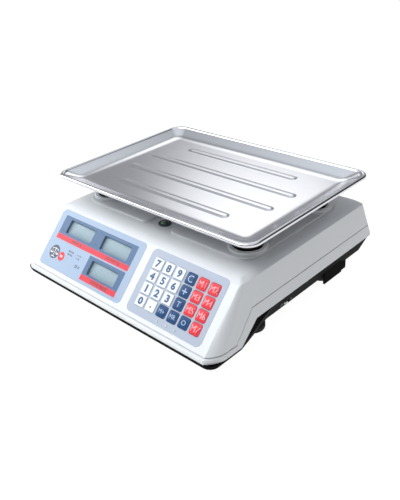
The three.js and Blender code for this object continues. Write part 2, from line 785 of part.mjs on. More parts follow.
/** The base's outline at height z: straight sides that spread out to a front lip. */
function baseRing(z, inset) {
  const part = (z - BASE_Z) / (SKIRT_SIDE_Z - BASE_Z);
  const lipPart = (z - BASE_Z) / (SKIRT_FRONT_Z - BASE_Z);
  const halfX = THREE.MathUtils.lerp(BASE.halfX, BASE.topHalfX, part) - inset;
  const rear = THREE.MathUtils.lerp(BASE.rearY, BASE.topRearY, part) - inset;
  const front = THREE.MathUtils.lerp(LIP.frontY, LIP.topFrontY, Math.min(lipPart, 1)) + inset;
  const caseX = DECK_HALF_X + (DECK_Z - z) * SIDE_DRAFT - 0.5;
  const spread = THREE.MathUtils.lerp(LIP.halfX, LIP.topHalfX, lipPart);
  const lipX = Math.min(spread, caseX) - inset;
  const rounded = (x, y, radius, start) =>
    steps(4).map((step) => {
      const angle = start + (step * Math.PI) / 2;
      return [x + radius * Math.cos(angle), y + radius * Math.sin(angle)];
    });
  const frontRadius = LIP.corner - inset;
  const rearRadius = BASE.corner - inset;
  const right = [
    ...rounded(lipX - frontRadius, front + frontRadius, frontRadius, -Math.PI / 2),
    [lipX, FLARE.frontY],
    [halfX, FLARE.rearY],
    ...rounded(halfX - rearRadius, rear - rearRadius, rearRadius, 0),
  ];
  const left = right.toReversed().map(([x, y]) => [-x, y]);
  return [...right, ...left].map(([x, y]) => new THREE.Vector3(x, y, z));
}

/** The base as a full body, offset inwards by an inset. */
function baseBody(inset, bottom) {
  const easing = inset === 0 ? 0.8 : 0;
  const high = SKIRT_SIDE_Z + CUT;
  return loft([
    baseRing(bottom, inset + easing),
    baseRing(bottom + 2, inset),
    baseRing(SKIRT_FRONT_Z, inset),
    baseRing(high, inset),
  ]);
}

function baseTray() {
  const floorZ = BASE_Z + BASE_WALL;
  let base = cut(baseBody(0, BASE_Z), baseBody(BASE_WALL, floorZ)).intersect(belowSkirt(GAP));
  for (const [x, y] of footPlaces) {
    base = join(base, post(FOOT_BOSS.radius, x, y, BASE_Z, BASE_Z + FOOT_BOSS.height, 20));
  }
  for (const side of [-1, 1]) {
    base = join(base, skidBlock(side));
  }
  const pedestal = block(
    -CELL.length / 2,
    TRAY.y - CELL.width / 2 - 2,
    BASE_Z + 1,
    -CELL.boltX[0] + CELL_END,
    TRAY.y + CELL.width / 2 + 2,
    CELL.bottomZ - GAP,
  );
  base = join(base, pedestal);
  for (const [x, y] of screwPosts) {
    base = join(base, post(SCREW_POST.radius, x, y, BASE_Z + 1, DECK_Z - CASE_WALL - 1, 12));
  }
  for (const [x, y] of footPlaces) {
    base = cut(base, post(FOOT.studRadius + GAP, x, y, 0, BASE_Z + 20, 16));
  }
  for (const x of CELL.boltX) {
    base = cut(base, post(BOLT.radius + GAP, -x, TRAY.y, 0, CELL.bottomZ + CUT, 16));
    base = cut(base, post(BOLT.headRadius + GAP, -x, TRAY.y, 0, BASE_Z + BOLT.recess, 16));
  }
  base = cut(base, hatchPlate(0, BASE_Z - CUT, floorZ + CUT));
  const slot = atSwitch(
    switchFaceX + CUT,
    BASE.topHalfX + CUT,
    SWITCH.slotLength / 2,
    SWITCH.slotHeight / 2,
  );
  base = cut(base, slot);
  return cut(base, inletBody(GAP, BASE.topRearY + CUT));
}

/** The skid block and guard wall at a rear corner, clear of the levelling foot. */
function skidBlock(side) {
  const near = side * SKID.near;
  const far = side * SKID.far;
  const bar = plate({
    left: Math.min(near, far),
    right: Math.max(near, far),
    front: FOOT.rearY,
    rear: SKID.rearY,
    radius: SKID.corner,
    bottom: SKID.bottomZ,
    top: BASE_Z + BASE_WALL,
    arc: 3,
  });
  const hollow = post(FOOT.radius + SKID.footClearance, side * FOOT.x, FOOT.rearY, 0, BASE_Z, 28);
  const { near: inner, far: outer, frontY, rearY, bottomZ, topZ } = SKID_GUARD;
  const left = Math.min(side * inner, side * outer);
  const right = Math.max(side * inner, side * outer);
  return join(cut(bar, hollow), block(left, frontY, bottomZ, right, rearY, topZ));
}

/** The battery hatch's outline between two heights, moved inwards by an inset. */
function hatchPlate(inset, bottom, top) {
  return plate({
    left: HATCH.left + inset,
    right: HATCH.right - inset,
    front: HATCH.front + inset,
    rear: HATCH.rear - inset,
    radius: HATCH.corner - inset,
    bottom,
    top,
    arc: 3,
  });
}

function batteryCover() {
  const middle = (HATCH.left + HATCH.right) / 2;
  const grip = plate({
    left: middle - GRIP.halfWidth,
    right: middle + GRIP.halfWidth,
    front: HATCH.rear - GRIP.front,
    rear: HATCH.rear - GRIP.rear,
    radius: 2,
    bottom: BASE_Z - CUT,
    top: BASE_Z + GRIP.depth,
    arc: 2,
  });
  return cut(hatchPlate(GAP, BASE_Z, BASE_Z + BASE_WALL), grip);
}

/** A sealed lead-acid battery with its two blade terminals. */
function battery() {
  const low = BASE_Z + BASE_WALL + BATTERY.lift;
  const top = low + BATTERY.height;
  const middleY = (HATCH.front + HATCH.rear) / 2;
  const bladeX = HATCH.right - BLADE.inset;
  const body = plate({
    left: HATCH.left + BATTERY.margin,
    right: HATCH.right - BATTERY.margin,
    front: middleY - BATTERY.depth / 2,
    rear: middleY + BATTERY.depth / 2,
    radius: 2,
    bottom: low,
    top,
    ease: 1,
    arc: 2,
  });
  const blades = [-BLADE.offset, BLADE.offset].map((offset) =>
    block(
      bladeX,
      middleY + offset - BLADE.width / 2,
      top - CUT,
      bladeX + BLADE.thickness,
      middleY + offset + BLADE.width / 2,
      top + BLADE.height,
    ),
  );
  return join(body, ...blades);
}

/** The main circuit board with its transformer, capacitors, connectors and pegs. */
function mainBoard() {
  const { left, right, front, rear } = BOARD;
  const floorZ = BASE_Z + BASE_WALL;
  const low = floorZ + BOARD.standoff;
  const top = low + BOARD.thickness;
  const sunk = top - BOARD.thickness / 3;
  const board = plate({ left, right, front, rear, radius: 2, bottom: low, top, arc: 2 });
  const blocks = Object.values(BOARD_BLOCKS).map(([x0, y0, x1, y1, height]) =>
    block(x0, y0, sunk, x1, y1, top + height),
  );
  const capacitors = CAPACITOR.x.map((x) =>
    post(CAPACITOR.radius, x, CAPACITOR.y, sunk, top + CAPACITOR.height, 16),
  );
  const pegs = BOARD_PEG.x.flatMap((x) =>
    BOARD_PEG.y.map((y) => post(BOARD_PEG.radius, x, y, floorZ + GAP, sunk, 10)),
  );
  return join(board, ...blocks, ...capacitors, ...pegs);
}

/** The outside of the mains inlet in the base's rear wall, enlarged by a clearance. */
function inletBody(clearance, rearY) {
  return block(
    INLET.x - INLET.width / 2 - clearance,
    INLET.rearY - INLET.depth - clearance,
    INLET.z - INLET.height / 2 - clearance,
    INLET.x + INLET.width / 2 + clearance,
    rearY,
    INLET.z + INLET.height / 2 + clearance,
  );
}

function powerInlet() {
  const rear = INLET.rearY;
  const back = rear - INLET_SOCKET.depth;
  const socket = block(
    INLET.x - INLET_SOCKET.width / 2,
    back,
    INLET.z - INLET_SOCKET.height / 2,
    INLET.x + INLET_SOCKET.width / 2,
    rear + CUT,
    INLET.z + INLET_SOCKET.height / 2,
  );
  const pins = [-1, 0, 1].map((place) =>
    block(
      INLET.x + place * INLET_PIN.pitch - INLET_PIN.width / 2,
      back - CUT,
      INLET.z - INLET_PIN.height / 2,
      INLET.x + place * INLET_PIN.pitch + INLET_PIN.width / 2,
      back - CUT + INLET_PIN.length,
      INLET.z + INLET_PIN.height / 2,
    ),
  );
  return join(cut(inletBody(0, rear), socket), ...pins);
}

/** A block centred on the switch's slot, from one x to another. */
function atSwitch(x0, x1, halfLength, halfHeight, offset = 0) {
  const y = SWITCH.y + offset;
  return block(x0, y - halfLength, SWITCH.z - halfHeight, x1, y + halfLength, SWITCH.z + halfHeight);
}

const switchFaceX = BASE.halfX - SWITCH_BODY.inset;

/** The slide switch behind the slot in the right-hand wall. */
function switchBody() {
  const { depth, halfLength, halfHeight } = SWITCH_BODY;
  const body = atSwitch(switchFaceX - depth, switchFaceX, halfLength, halfHeight);
  const track = SWITCH_TRACK;
  return cut(
    body,
    atSwitch(switchFaceX - track.depth, switchFaceX + CUT, track.halfLength, track.halfHeight),
  );
}

/** The switch's knob, a stem in the switch with a finger grip outside the wall. */
function switchKnob() {
  const outerX = BASE.halfX + KNOB.reach;
  const stemX = switchFaceX - SWITCH_TRACK.depth + GAP;
  const stem = atSwitch(stemX, outerX - 1, KNOB.halfLength - 0.4, KNOB.halfHeight - 0.3, KNOB.y);
  const grip = atSwitch(outerX - KNOB.thickness, outerX, KNOB.halfLength, KNOB.halfHeight, KNOB.y);
  return join(stem, grip);
}

/** A levelling foot's pad, scalloped for fingers, with a socket for its stud. */
function footPad([x, y]) {
  const profile = [
    [0, 0],
    [FOOT.radius - 1.5, 0],
    [FOOT.radius, 1.5],
    [FOOT.radius, FOOT.height - 1.5],
    [FOOT.radius - 1.5, FOOT.height],
    [0, FOOT.height],
  ];
  const pad = turned(profile, x, y, 24);
  return cut(pad, post(FOOT.studRadius + GAP, x, y, 2, FOOT.height + CUT, 16));
}

function footStud([x, y]) {
  return post(FOOT.studRadius, x, y, 2 + GAP, BASE_Z + 18, 16);
}

// ---------------------------------------------------------------- bubble level

/** A round bubble level: a flanged cup with a domed vial. */
function bubbleLevel() {
  const top = DECK_Z + GAP;
  const profile = [
    [0, LEVEL.bottomZ],
    [LEVEL.radius, LEVEL.bottomZ],
    [LEVEL.radius, top],
    [LEVEL.radius + LEVEL.flange, top],
    [LEVEL.radius + LEVEL.flange, top + LEVEL.domeHeight * 0.5],
    [LEVEL.vialRadius, top + LEVEL.domeHeight * 0.55],
    [LEVEL.vialRadius * 0.7, top + LEVEL.domeHeight * 0.86],
    [0, top + LEVEL.domeHeight],
  ];
  return turned(profile, LEVEL.x, LEVEL.y, 24);
}

// ---------------------------------------------------------------- assembly

piece("upper_housing", upperHousing(), "caseWhite");
piece("base_tray", baseTray(), "baseBlack");
piece("weighing_tray", weighingTray(), "steel");
piece("platform_spider", platformSpider(), "aluminium");
piece("load_cell", loadCell(), "aluminium");
postPlaces.forEach((place, i) => piece(`tray_pad_${i + 1}`, trayPad(place), "rubber"));
CELL.boltX.forEach((x, i) => {
  piece(`load_cell_bolt_${i + 1}`, bolt(-x, BASE_Z + BOLT.recess - GAP, cellTopZ - 4, -1), "steel");
  piece(`load_cell_bolt_${i + 3}`, bolt(x, armTopZ + GAP, CELL.bottomZ + 4, 1), "steel");
});
piece("display_overlay", displayOverlay(), "overlayBlue", consoleGroup);
piece("keypad_overlay", keypadOverlay(), "overlayLilac", consoleGroup);
piece("keypad_board", keypadBoard(), "board", consoleGroup);
piece("indicator_lights", indicatorLights(), "keyWhite", consoleGroup);
for (const [name, window] of Object.entries(WINDOWS)) {
  piece(name, displayCell(window), "lcd", consoleGroup);
}
for (const place of keyPlaces) {
  const coloured = place.name.startsWith("m");
  const navy = ["clear", "add", "tare", "save", "recall", "zero"].includes(place.name);
  const material = coloured ? "keyRed" : navy ? "keyNavy" : "keyWhite";
  piece(`key_${place.name}`, key(place), material, consoleGroup);
}
piece("customer_display", customerDisplay(), "lcd");
piece("main_board", mainBoard(), "board");
piece("battery", battery(), "battery");
piece("battery_cover", batteryCover(), "baseBlack");
piece("power_inlet", powerInlet(), "baseBlack");
piece("power_switch_body", switchBody(), "baseBlack");
piece("power_switch_knob", switchKnob(), "keyWhite");
piece("bubble_level", bubbleLevel(), "level");
footPlaces.forEach((place, i) => {
  piece(`foot_pad_${i + 1}`, footPad(place), "rubber");
  piece(`foot_stud_${i + 1}`, footStud(place), "steel");
});

export default assembly;
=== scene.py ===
"""Looks of the price-computing scale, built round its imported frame. Lengths are mm unless said."""
import json
import math

import bmesh
import bpy
from mathutils import Matrix, Vector
from mathutils.geometry import tessellate_polygon


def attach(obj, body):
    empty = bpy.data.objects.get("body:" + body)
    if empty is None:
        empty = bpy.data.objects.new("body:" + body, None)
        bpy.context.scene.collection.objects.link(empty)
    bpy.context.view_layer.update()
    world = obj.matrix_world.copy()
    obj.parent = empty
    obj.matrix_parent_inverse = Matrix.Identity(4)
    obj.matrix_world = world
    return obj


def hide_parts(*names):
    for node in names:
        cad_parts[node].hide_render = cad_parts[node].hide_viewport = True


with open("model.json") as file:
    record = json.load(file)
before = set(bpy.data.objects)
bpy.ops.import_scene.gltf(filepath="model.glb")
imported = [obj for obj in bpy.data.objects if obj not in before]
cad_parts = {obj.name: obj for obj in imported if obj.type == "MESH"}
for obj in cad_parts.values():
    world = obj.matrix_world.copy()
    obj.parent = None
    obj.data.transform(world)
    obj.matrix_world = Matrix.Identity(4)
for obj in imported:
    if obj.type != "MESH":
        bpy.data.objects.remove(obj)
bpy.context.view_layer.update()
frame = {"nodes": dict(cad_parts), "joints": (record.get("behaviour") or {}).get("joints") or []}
NODES = frame["nodes"]
JOINTS = {joint["name"]: joint for joint in frame["joints"]}
MM = 0.001

# ------------------------------------------------------------------ camera

CAMERA = {  # place and clipping in metres, azimuth, elevation and roll in degrees
    "place": (0.5237, -0.5178, 0.4452),
    "azimuth": 46.63,
    "elevation": 29.53,
    "roll": -4.66,
    "sensor": 36.0,
    "lens": 45.03,
    "shift": (0.0325, -0.0003),
    "clip": (0.01, 100.0),
}


def make_camera():
    azimuth, elevation, roll = (math.radians(CAMERA[k]) for k in ("azimuth", "elevation", "roll"))
    back = Vector((
        math.sin(azimuth) * math.cos(elevation),
        -math.cos(azimuth) * math.cos(elevation),
        math.sin(elevation),
    ))
    level = (-back).cross(Vector((0, 0, 1))).normalized()
    upright = level.cross(-back).normalized()
    right = level * math.cos(roll) + upright * math.sin(roll)
    up = upright * math.cos(roll) - level * math.sin(roll)
    data = bpy.data.cameras.new("camera")
    data.sensor_width = CAMERA["sensor"]
    data.lens = CAMERA["lens"]
    data.shift_x, data.shift_y = CAMERA["shift"]
    data.clip_start, data.clip_end = CAMERA["clip"]
    camera = bpy.data.objects.new("camera", data)
    bpy.context.scene.collection.objects.link(camera)
    turn = Matrix((right, up, back)).transposed().to_4x4()
    camera.matrix_world = Matrix.Translation(CAMERA["place"]) @ turn
    bpy.context.scene.camera = camera


make_camera()

# ------------------------------------------------------------------ materials

PATCHES = {"detail": 4.0, "roughness": 0.6, "range": (0.35, 0.7)}
GRAIN = {"detail": 2.0, "range": (0.3, 0.7)}
SECOND_TINT = 0.93  # share of the first colour, where a surface names no tint
PLASTIC_IOR = 1.5


def socket(node, name, value):
    node.inputs[name].default_value = value


def rgba(color):
    return (*color, 1.0)


def surface(
    name,
    color,
    roughness,
    metallic=0.0,
    tint=None,
    tint_scale=14.0,
    tint_share=0.35,
    rough_spread=0.06,
    grain=(1.0, 1.0, 1.0),
    grain_scale=1400.0,
    grain_height=0.015,
    swell=None,
    coat=0.0,
    coat_roughness=0.1,
    specular=0.5,
    emission=0.0,
):
    """A procedural surface: patchy colour, patchy roughness and a fine relief (heights in mm)."""
    material = bpy.data.materials.new(name)
    material.use_nodes = True
    nodes, links = material.node_tree.nodes, material.node_tree.links
    shader = nodes["Principled BSDF"]
    socket(shader, "Metallic", metallic)
    socket(shader, "Specular IOR Level", specular)
    socket(shader, "IOR", PLASTIC_IOR)
    socket(shader, "Coat Weight", coat)
    socket(shader, "Coat Roughness", coat_roughness)
    place = nodes.new("ShaderNodeTexCoord")
    stretch = nodes.new("ShaderNodeMapping")
    stretch.inputs["Scale"].default_value = grain
    links.new(place.outputs["Object"], stretch.inputs["Vector"])

    patches = nodes.new("ShaderNodeTexNoise")
    socket(patches, "Scale", tint_scale)
    socket(patches, "Detail", PATCHES["detail"])
    socket(patches, "Roughness", PATCHES["roughness"])
    links.new(place.outputs["Object"], patches.inputs["Vector"])
    blend = nodes.new("ShaderNodeMapRange")
    socket(blend, "From Min", PATCHES["range"][0])
    socket(blend, "From Max", PATCHES["range"][1])
    socket(blend, "To Max", tint_share)
    links.new(patches.outputs["Fac"], blend.inputs["Value"])
    mix = nodes.new("ShaderNodeMix")
    mix.data_type = "RGBA"
    mix.inputs["A"].default_value = rgba(color)
    mix.inputs["B"].default_value = rgba(tint or [c * SECOND_TINT for c in color])
    links.new(blend.outputs["Result"], mix.inputs["Factor"])
    links.new(mix.outputs["Result"], shader.inputs["Base Color"])
    if emission:
        links.new(mix.outputs["Result"], shader.inputs["Emission Color"])
        socket(shader, "Emission Strength", emission)

    fine = nodes.new("ShaderNodeTexNoise")
    socket(fine, "Scale", grain_scale)
    socket(fine, "Detail", GRAIN["detail"])
    links.new(stretch.outputs["Vector"], fine.inputs["Vector"])
    rough = nodes.new("ShaderNodeMapRange")
    socket(rough, "From Min", GRAIN["range"][0])
    socket(rough, "From Max", GRAIN["range"][1])
    socket(rough, "To Min", roughness - rough_spread)
    socket(rough, "To Max", roughness + rough_spread)
    links.new(fine.outputs["Fac"], rough.inputs["Value"])
    links.new(rough.outputs["Result"], shader.inputs["Roughness"])

    relief = nodes.new("ShaderNodeBump")
    socket(relief, "Strength", 1.0)
    socket(relief, "Distance", grain_height * MM)
    links.new(fine.outputs["Fac"], relief.inputs["Height"])
    if swell:
        scale, height = swell
        wide = nodes.new("ShaderNodeTexNoise")
        socket(wide, "Scale", scale)
        socket(wide, "Detail", 1.0)
        links.new(place.outputs["Object"], wide.inputs["Vector"])
        second = nodes.new("ShaderNodeBump")
        socket(second, "Strength", 1.0)
        socket(second, "Distance", height * MM)
        links.new(wide.outputs["Fac"], second.inputs["Height"])
        links.new(second.outputs["Normal"], relief.inputs["Normal"])
    links.new(relief.outputs["Normal"], shader.inputs["Normal"])
    return material


def film(name, color, tint, tint_scale=14.0):
    return surface(name, color, 0.38, tint=tint, tint_scale=tint_scale, grain_scale=2400,
                   grain_height=0.008, specular=0.3)


def ink(name, color, roughness=0.4):
    return surface(name, color, roughness, grain_scale=3000, grain_height=0.004)


def keycap(name, color, roughness, tint, **more):
    return surface(name, color, roughness, tint=tint, tint_scale=80, grain_scale=1800,
                   grain_height=0.012, **more)


CASE = surface("case_plastic", (0.715, 0.73, 0.745), 0.4, tint=(0.69, 0.705, 0.72), tint_scale=9,
               grain_scale=1500, grain_height=0.02, rough_spread=0.05, swell=(22, 0.05), specular=0.35)
BLACK = surface("base_plastic", (0.003, 0.003, 0.0035), 0.6, tint=(0.006, 0.006, 0.0065), tint_scale=30,
                grain_scale=1300, grain_height=0.05, rough_spread=0.1, specular=0.02)
STEEL = surface("brushed_steel", (0.70, 0.705, 0.73), 0.17, metallic=1.0, tint=(0.65, 0.655, 0.68),
                tint_scale=7, tint_share=0.5, grain=(0.012, 1.0, 1.0), grain_scale=2600,
                grain_height=0.004, rough_spread=0.05, swell=(9, 0.12))
CAST = surface("cast_aluminium", (0.5, 0.51, 0.52), 0.42, metallic=1.0, tint=(0.4, 0.41, 0.42),
               grain_scale=700, grain_height=0.08, rough_spread=0.1)
MACHINED = surface("machined_aluminium", (0.72, 0.73, 0.74), 0.3, metallic=1.0, grain=(0.05, 1.0, 1.0),
                   grain_scale=2000, grain_height=0.01, rough_spread=0.08)
ZINC = surface("zinc_plate", (0.55, 0.56, 0.57), 0.32, metallic=1.0, tint=(0.5, 0.52, 0.48),
               tint_scale=90, tint_share=0.7, grain_scale=900, grain_height=0.02)
RUBBER = surface("rubber", (0.012, 0.012, 0.012), 0.75, tint=(0.028, 0.027, 0.026), tint_scale=60,
                 grain_scale=900, grain_height=0.06, rough_spread=0.12, specular=0.35)
FILM_BLUE = film("film_blue", (0.325, 0.42, 0.56), (0.365, 0.425, 0.535), 20)
FILM_LILAC = film("film_lilac", (0.395, 0.44, 0.53), (0.38, 0.425, 0.515), 20)
PRINT_SLATE = film("print_slate", (0.068, 0.135, 0.26), (0.064, 0.125, 0.245))
PRINT_RED = film("print_red", (0.66, 0.026, 0.048), (0.63, 0.024, 0.044))
INK_MAROON = ink("ink_maroon", (0.14, 0.004, 0.012))
INK_NAVY = ink("ink_navy", (0.016, 0.075, 0.185))
INK_DARK = ink("ink_dark", (0.03, 0.04, 0.07))
INK_PALE = ink("ink_pale", (0.36, 0.47, 0.63))
INK_PINK = ink("ink_pink", (0.92, 0.42, 0.46))
INK_WHITE = ink("ink_white", (0.8, 0.8, 0.82))
INK_FAINT = ink("ink_faint", (0.3, 0.3, 0.31), 0.5)
KEY_WHITE = keycap("key_plastic_white", (0.75, 0.79, 0.84), 0.34, (0.72, 0.76, 0.82), coat=0.1)
KEY_NAVY = keycap("key_plastic_navy", (0.016, 0.065, 0.185), 0.36, (0.013, 0.055, 0.16), specular=0.2)
KEY_RED = keycap("key_plastic_red", (0.77, 0.042, 0.058), 0.32, (0.71, 0.036, 0.05), specular=0.2)
# display frame: its dark blue-grey is painted shade, standing in for the shadow on the walls of the window
# recesses
LCD_FRAME_PAINTED_SHADE = surface("display_frame_painted_shade", (0.17, 0.25, 0.36), 0.45, tint=(0.15, 0.22, 0.33),
                    grain_scale=1500, grain_height=0.02)
LCD_GLASS = surface("display_cell", (0.295, 0.385, 0.435), 0.3, tint=(0.28, 0.37, 0.42), tint_scale=40,
                    grain_scale=4000, grain_height=0.002, specular=0.2)
LCD_GHOST = surface("display_ghost", (0.27, 0.355, 0.405), 0.3, tint=(0.26, 0.34, 0.39),
                    grain_scale=4000, grain_height=0.002, specular=0.2)
SMOKED = surface("smoked_window", (0.02, 0.025, 0.032), 0.12, tint=(0.03, 0.035, 0.04),
                 grain_scale=3000, grain_height=0.002, coat=0.6, coat_roughness=0.05)
MASK = surface("solder_mask", (0.015, 0.11, 0.04), 0.35, tint=(0.02, 0.16, 0.06), tint_scale=260,
               tint_share=0.8, grain_scale=1200, grain_height=0.03)
BATTERY = surface("battery_case", (0.03, 0.031, 0.035), 0.45, grain_scale=1100, grain_height=0.05)
LIGHT = surface("light_guide", (0.62, 0.68, 0.7), 0.2, grain_scale=2000, grain_height=0.004, coat=0.4)
KNOB = surface("switch_plastic", (0.78, 0.79, 0.8), 0.4, grain_scale=1500, grain_height=0.02)
VIAL = surface("vial", (0.05, 0.13, 0.04), 0.08, tint=(0.04, 0.11, 0.03), grain_scale=2000,
               grain_height=0.002, coat=1.0, coat_roughness=0.03)
BUBBLE = surface("bubble", (0.25, 0.4, 0.2), 0.06, grain_scale=2000, grain_height=0.002, coat=1.0)
FLOOR = surface("floor", (0.12, 0.12, 0.12), 0.85, tint=(0.119, 0.119, 0.119), tint_scale=3,
                grain_scale=300, grain_height=0.05, specular=0.0, emission=8.1)

# ------------------------------------------------------------------ CAD nodes

SHARP = 38  # degrees: edges above this stay sharp
SHARP_CASE = 27  # keeps the crease beside the console
BEVELLED = 32  # edges above this are eased
WELDED = 0.002
CELL_NODES = ("lcd_weight", "lcd_unit_price", "lcd_total_price")
FOUR = range(1, 5)


def smooth_by_angle(limit):
    """A node group that shades faces smooth and keeps edges above the angle sharp."""
    group = bpy.data.node_groups.new(f"smooth_{round(math.degrees(limit))}", "GeometryNodeTree")
    group.interface.new_socket("Geometry", in_out="INPUT", socket_type="NodeSocketGeometry")
    group.interface.new_socket("Geometry", in_out="OUTPUT", socket_type="NodeSocketGeometry")
    nodes, links = group.nodes, group.links
    entry, exit_ = nodes.new("NodeGroupInput"), nodes.new("NodeGroupOutput")
    faces = nodes.new("GeometryNodeSetShadeSmooth")
    edges = nodes.new("GeometryNodeSetShadeSmooth")
    edges.domain = "EDGE"
    angle = nodes.new("GeometryNodeInputMeshEdgeAngle")
    compare = nodes.new("FunctionNodeCompare")
    compare.data_type = "FLOAT"
    compare.operation = "LESS_EQUAL"
    compare.inputs["B"].default_value = limit
    links.new(entry.outputs[0], faces.inputs["Geometry"])
    links.new(faces.outputs[0], edges.inputs["Geometry"])
    links.new(angle.outputs["Unsigned Angle"], compare.inputs["A"])
    links.new(compare.outputs["Result"], edges.inputs["Shade Smooth"])
    links.new(edges.outputs[0], exit_.inputs[0])
    return group


SMOOTH = smooth_by_angle(math.radians(SHARP))
SMOOTH_CASE = smooth_by_angle(math.radians(SHARP_CASE))


def refine(node, material, bevel=0.4, segments=2, dissolve=1.5, smooth=SMOOTH):
    """Keeps a CAD node, gives it its material, and eases its hard edges by the bevel's width."""
    shown = NODES[node]
    shown.data.materials.clear()
    shown.data.materials.append(material)
    weld = shown.modifiers.new("weld", "WELD")
    weld.merge_threshold = WELDED * MM
    flat = shown.modifiers.new("planar", "DECIMATE")
    flat.decimate_type = "DISSOLVE"
    flat.angle_limit = math.radians(dissolve)
    if bevel:
        edge = shown.modifiers.new("bevel", "BEVEL")
        edge.width = bevel * MM
        edge.segments = segments
        edge.limit_method = "ANGLE"
        edge.angle_limit = math.radians(BEVELLED)
    shade = shown.modifiers.new("smooth", "NODES")
    shade.node_group = smooth
    even = shown.modifiers.new("even", "WEIGHTED_NORMAL")
    even.keep_sharp = True


refine("upper_housing", CASE, 0.5, smooth=SMOOTH_CASE)
refine("base_tray", BLACK, 0.6)
refine("platform_spider", CAST, 0.8)
refine("load_cell", MACHINED, 0.4)
refine("display_overlay", FILM_BLUE, 0.1, 1)
refine("keypad_overlay", FILM_LILAC, 0.1, 1)
refine("keypad_board", MASK, 0.15, 1)
refine("main_board", MASK, 0.3, 1)
refine("battery", BATTERY, 0.5)
refine("battery_cover", BLACK, 0.3)
refine("power_inlet", BLACK, 0.3)
refine("power_switch_body", BLACK, 0.2)
refine("power_switch_knob", KNOB, 0.3)
refine("indicator_lights", LIGHT, 0.2)
refine("customer_display", SMOKED, 0.3)
# the display cells get the frame colour with its painted shade on the recess walls
for cell in CELL_NODES:
    refine(cell, LCD_FRAME_PAINTED_SHADE, 0.15, 1)
for i in FOUR:
    refine(f"load_cell_bolt_{i}", ZINC, 0.3)
    refine(f"foot_stud_{i}", ZINC, 0.3)
    refine(f"tray_pad_{i}", RUBBER, 0.6)

# ------------------------------------------------------------------ mesh helpers

UPRIGHT = Matrix.Scale(MM, 4)
PANEL_GAP = 0.3  # between the display film and the edge of its recess
DOUBLES = 0.0005


def console_space():
    """The console's frame in mm: x across, y up the slope from the panel's edge, z out of it."""
    normal = -Vector(JOINTS["press_7"]["axis"]).normalized()
    across = Vector((1, 0, 0))
    uphill = normal.cross(across)
    turn = Matrix((across, uphill, normal)).transposed()
    inverse = turn.inverted()
    local = [inverse @ v.co for v in NODES["display_overlay"].data.vertices]
    start = Vector((0, min(p.y for p in local) - PANEL_GAP * MM, max(p.z for p in local)))
    return Matrix.Translation(turn @ start) @ turn.to_4x4() @ UPRIGHT


CONSOLE = console_space()


def local_box(node, space):
    """The lowest and highest corner of a CAD node in another frame."""
    inverse = space.inverted()
    points = [inverse @ v.co for v in NODES[node].data.vertices]
    low = Vector(min(p[i] for p in points) for i in range(3))
    high = Vector(max(p[i] for p in points) for i in range(3))
    return low, high


def add(name, shape, material, body, space=UPRIGHT, sharp=SHARP, replaces=()):
    """Adds one piece from (points, faces), closed and turned outwards, riding on a body."""
    points, faces = shape
    mesh = bpy.data.meshes.new(name)
    mesh.from_pydata([space @ Vector(p) for p in points], [], faces)
    work = bmesh.new()
    work.from_mesh(mesh)
    bmesh.ops.remove_doubles(work, verts=work.verts, dist=DOUBLES * MM)
    bmesh.ops.recalc_face_normals(work, faces=work.faces)
    work.to_mesh(mesh)
    work.free()
    mesh.polygons.foreach_set("use_smooth", [True] * len(mesh.polygons))
    mesh.set_sharp_from_angle(angle=math.radians(sharp))
    mesh.materials.append(material)
    made = bpy.data.objects.new(name, mesh)
    bpy.context.scene.collection.objects.link(made)
    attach(made, body)
    if replaces:
        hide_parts(*replaces)
    return made


def merged(*shapes):
    points, faces = [], []
    for more_points, more_faces in shapes:
        start = len(points)
        points += more_points
        faces += [tuple(start + i for i in face) for face in more_faces]
    return points, faces


def loft(rings, closed_start=True, closed_end=True):
    """A skin through rings of equal length."""
    count = len(rings[0])
    points = [p for ring in rings for p in ring]
    faces = []
    for level in range(len(rings) - 1):
        low, high = level * count, (level + 1) * count
        for i in range(count):
            j = (i + 1) % count
            faces.append((low + i, low + j, high + j, high + i))
    if closed_start:
        faces.append(tuple(reversed(range(count))))
    if closed_end:
        faces.append(tuple(range(len(points) - count, len(points))))
    return points, faces


def rounded(left, right, front, rear, radius, z=0.0, arc=6):
    """A rounded rectangle at one height, anticlockwise from above."""
    corners = ((right - radius, rear - radius), (left + radius, rear - radius),
               (left + radius, front + radius), (right - radius, front + radius))
    ring = []
    for quarter, (x, y) in enumerate(corners):
        for i in range(arc + 1):
            angle = (quarter + i / arc) * math.pi / 2
            ring.append((x + radius * math.cos(angle), y + radius * math.sin(angle), z))
    return ring


def circle(x, y, radius, z=0.0, sides=32):
    return [
        (x + radius * math.cos(i * math.tau / sides), y + radius * math.sin(i * math.tau / sides), z)
        for i in range(sides)
    ]


def turned(profile, x, y, sides=48):
    """A closed body of revolution; the profile lists (radius, z) from bottom to top."""
    return loft([circle(x, y, radius, z, sides) for radius, z in profile])


def flat_plate(outline, holes, low, high):
    """A plate with holes between two heights."""
    loops = [outline, *holes]
    flat = [[Vector((p[0], p[1], 0)) for p in loop] for loop in loops]
    triangles = tessellate_polygon(flat)
    points = [(p[0], p[1], low) for loop in loops for p in loop]
    total = len(points)
    points += [(x, y, high) for x, y, _ in points]
    faces = [tuple(i + total for i in t) for t in triangles]
    faces += [tuple(reversed(t)) for t in triangles]
    start = 0
    for loop in loops:
        count = len(loop)
        for i in range(count):
            j = (i + 1) % count
            faces.append((start + i, start + j, start + j + total, start + i + total))
        start += count
    return points, faces


def smoothstep(t):
    t = min(max(t, 0.0), 1.0)
    return t * t * (3 - 2 * t)


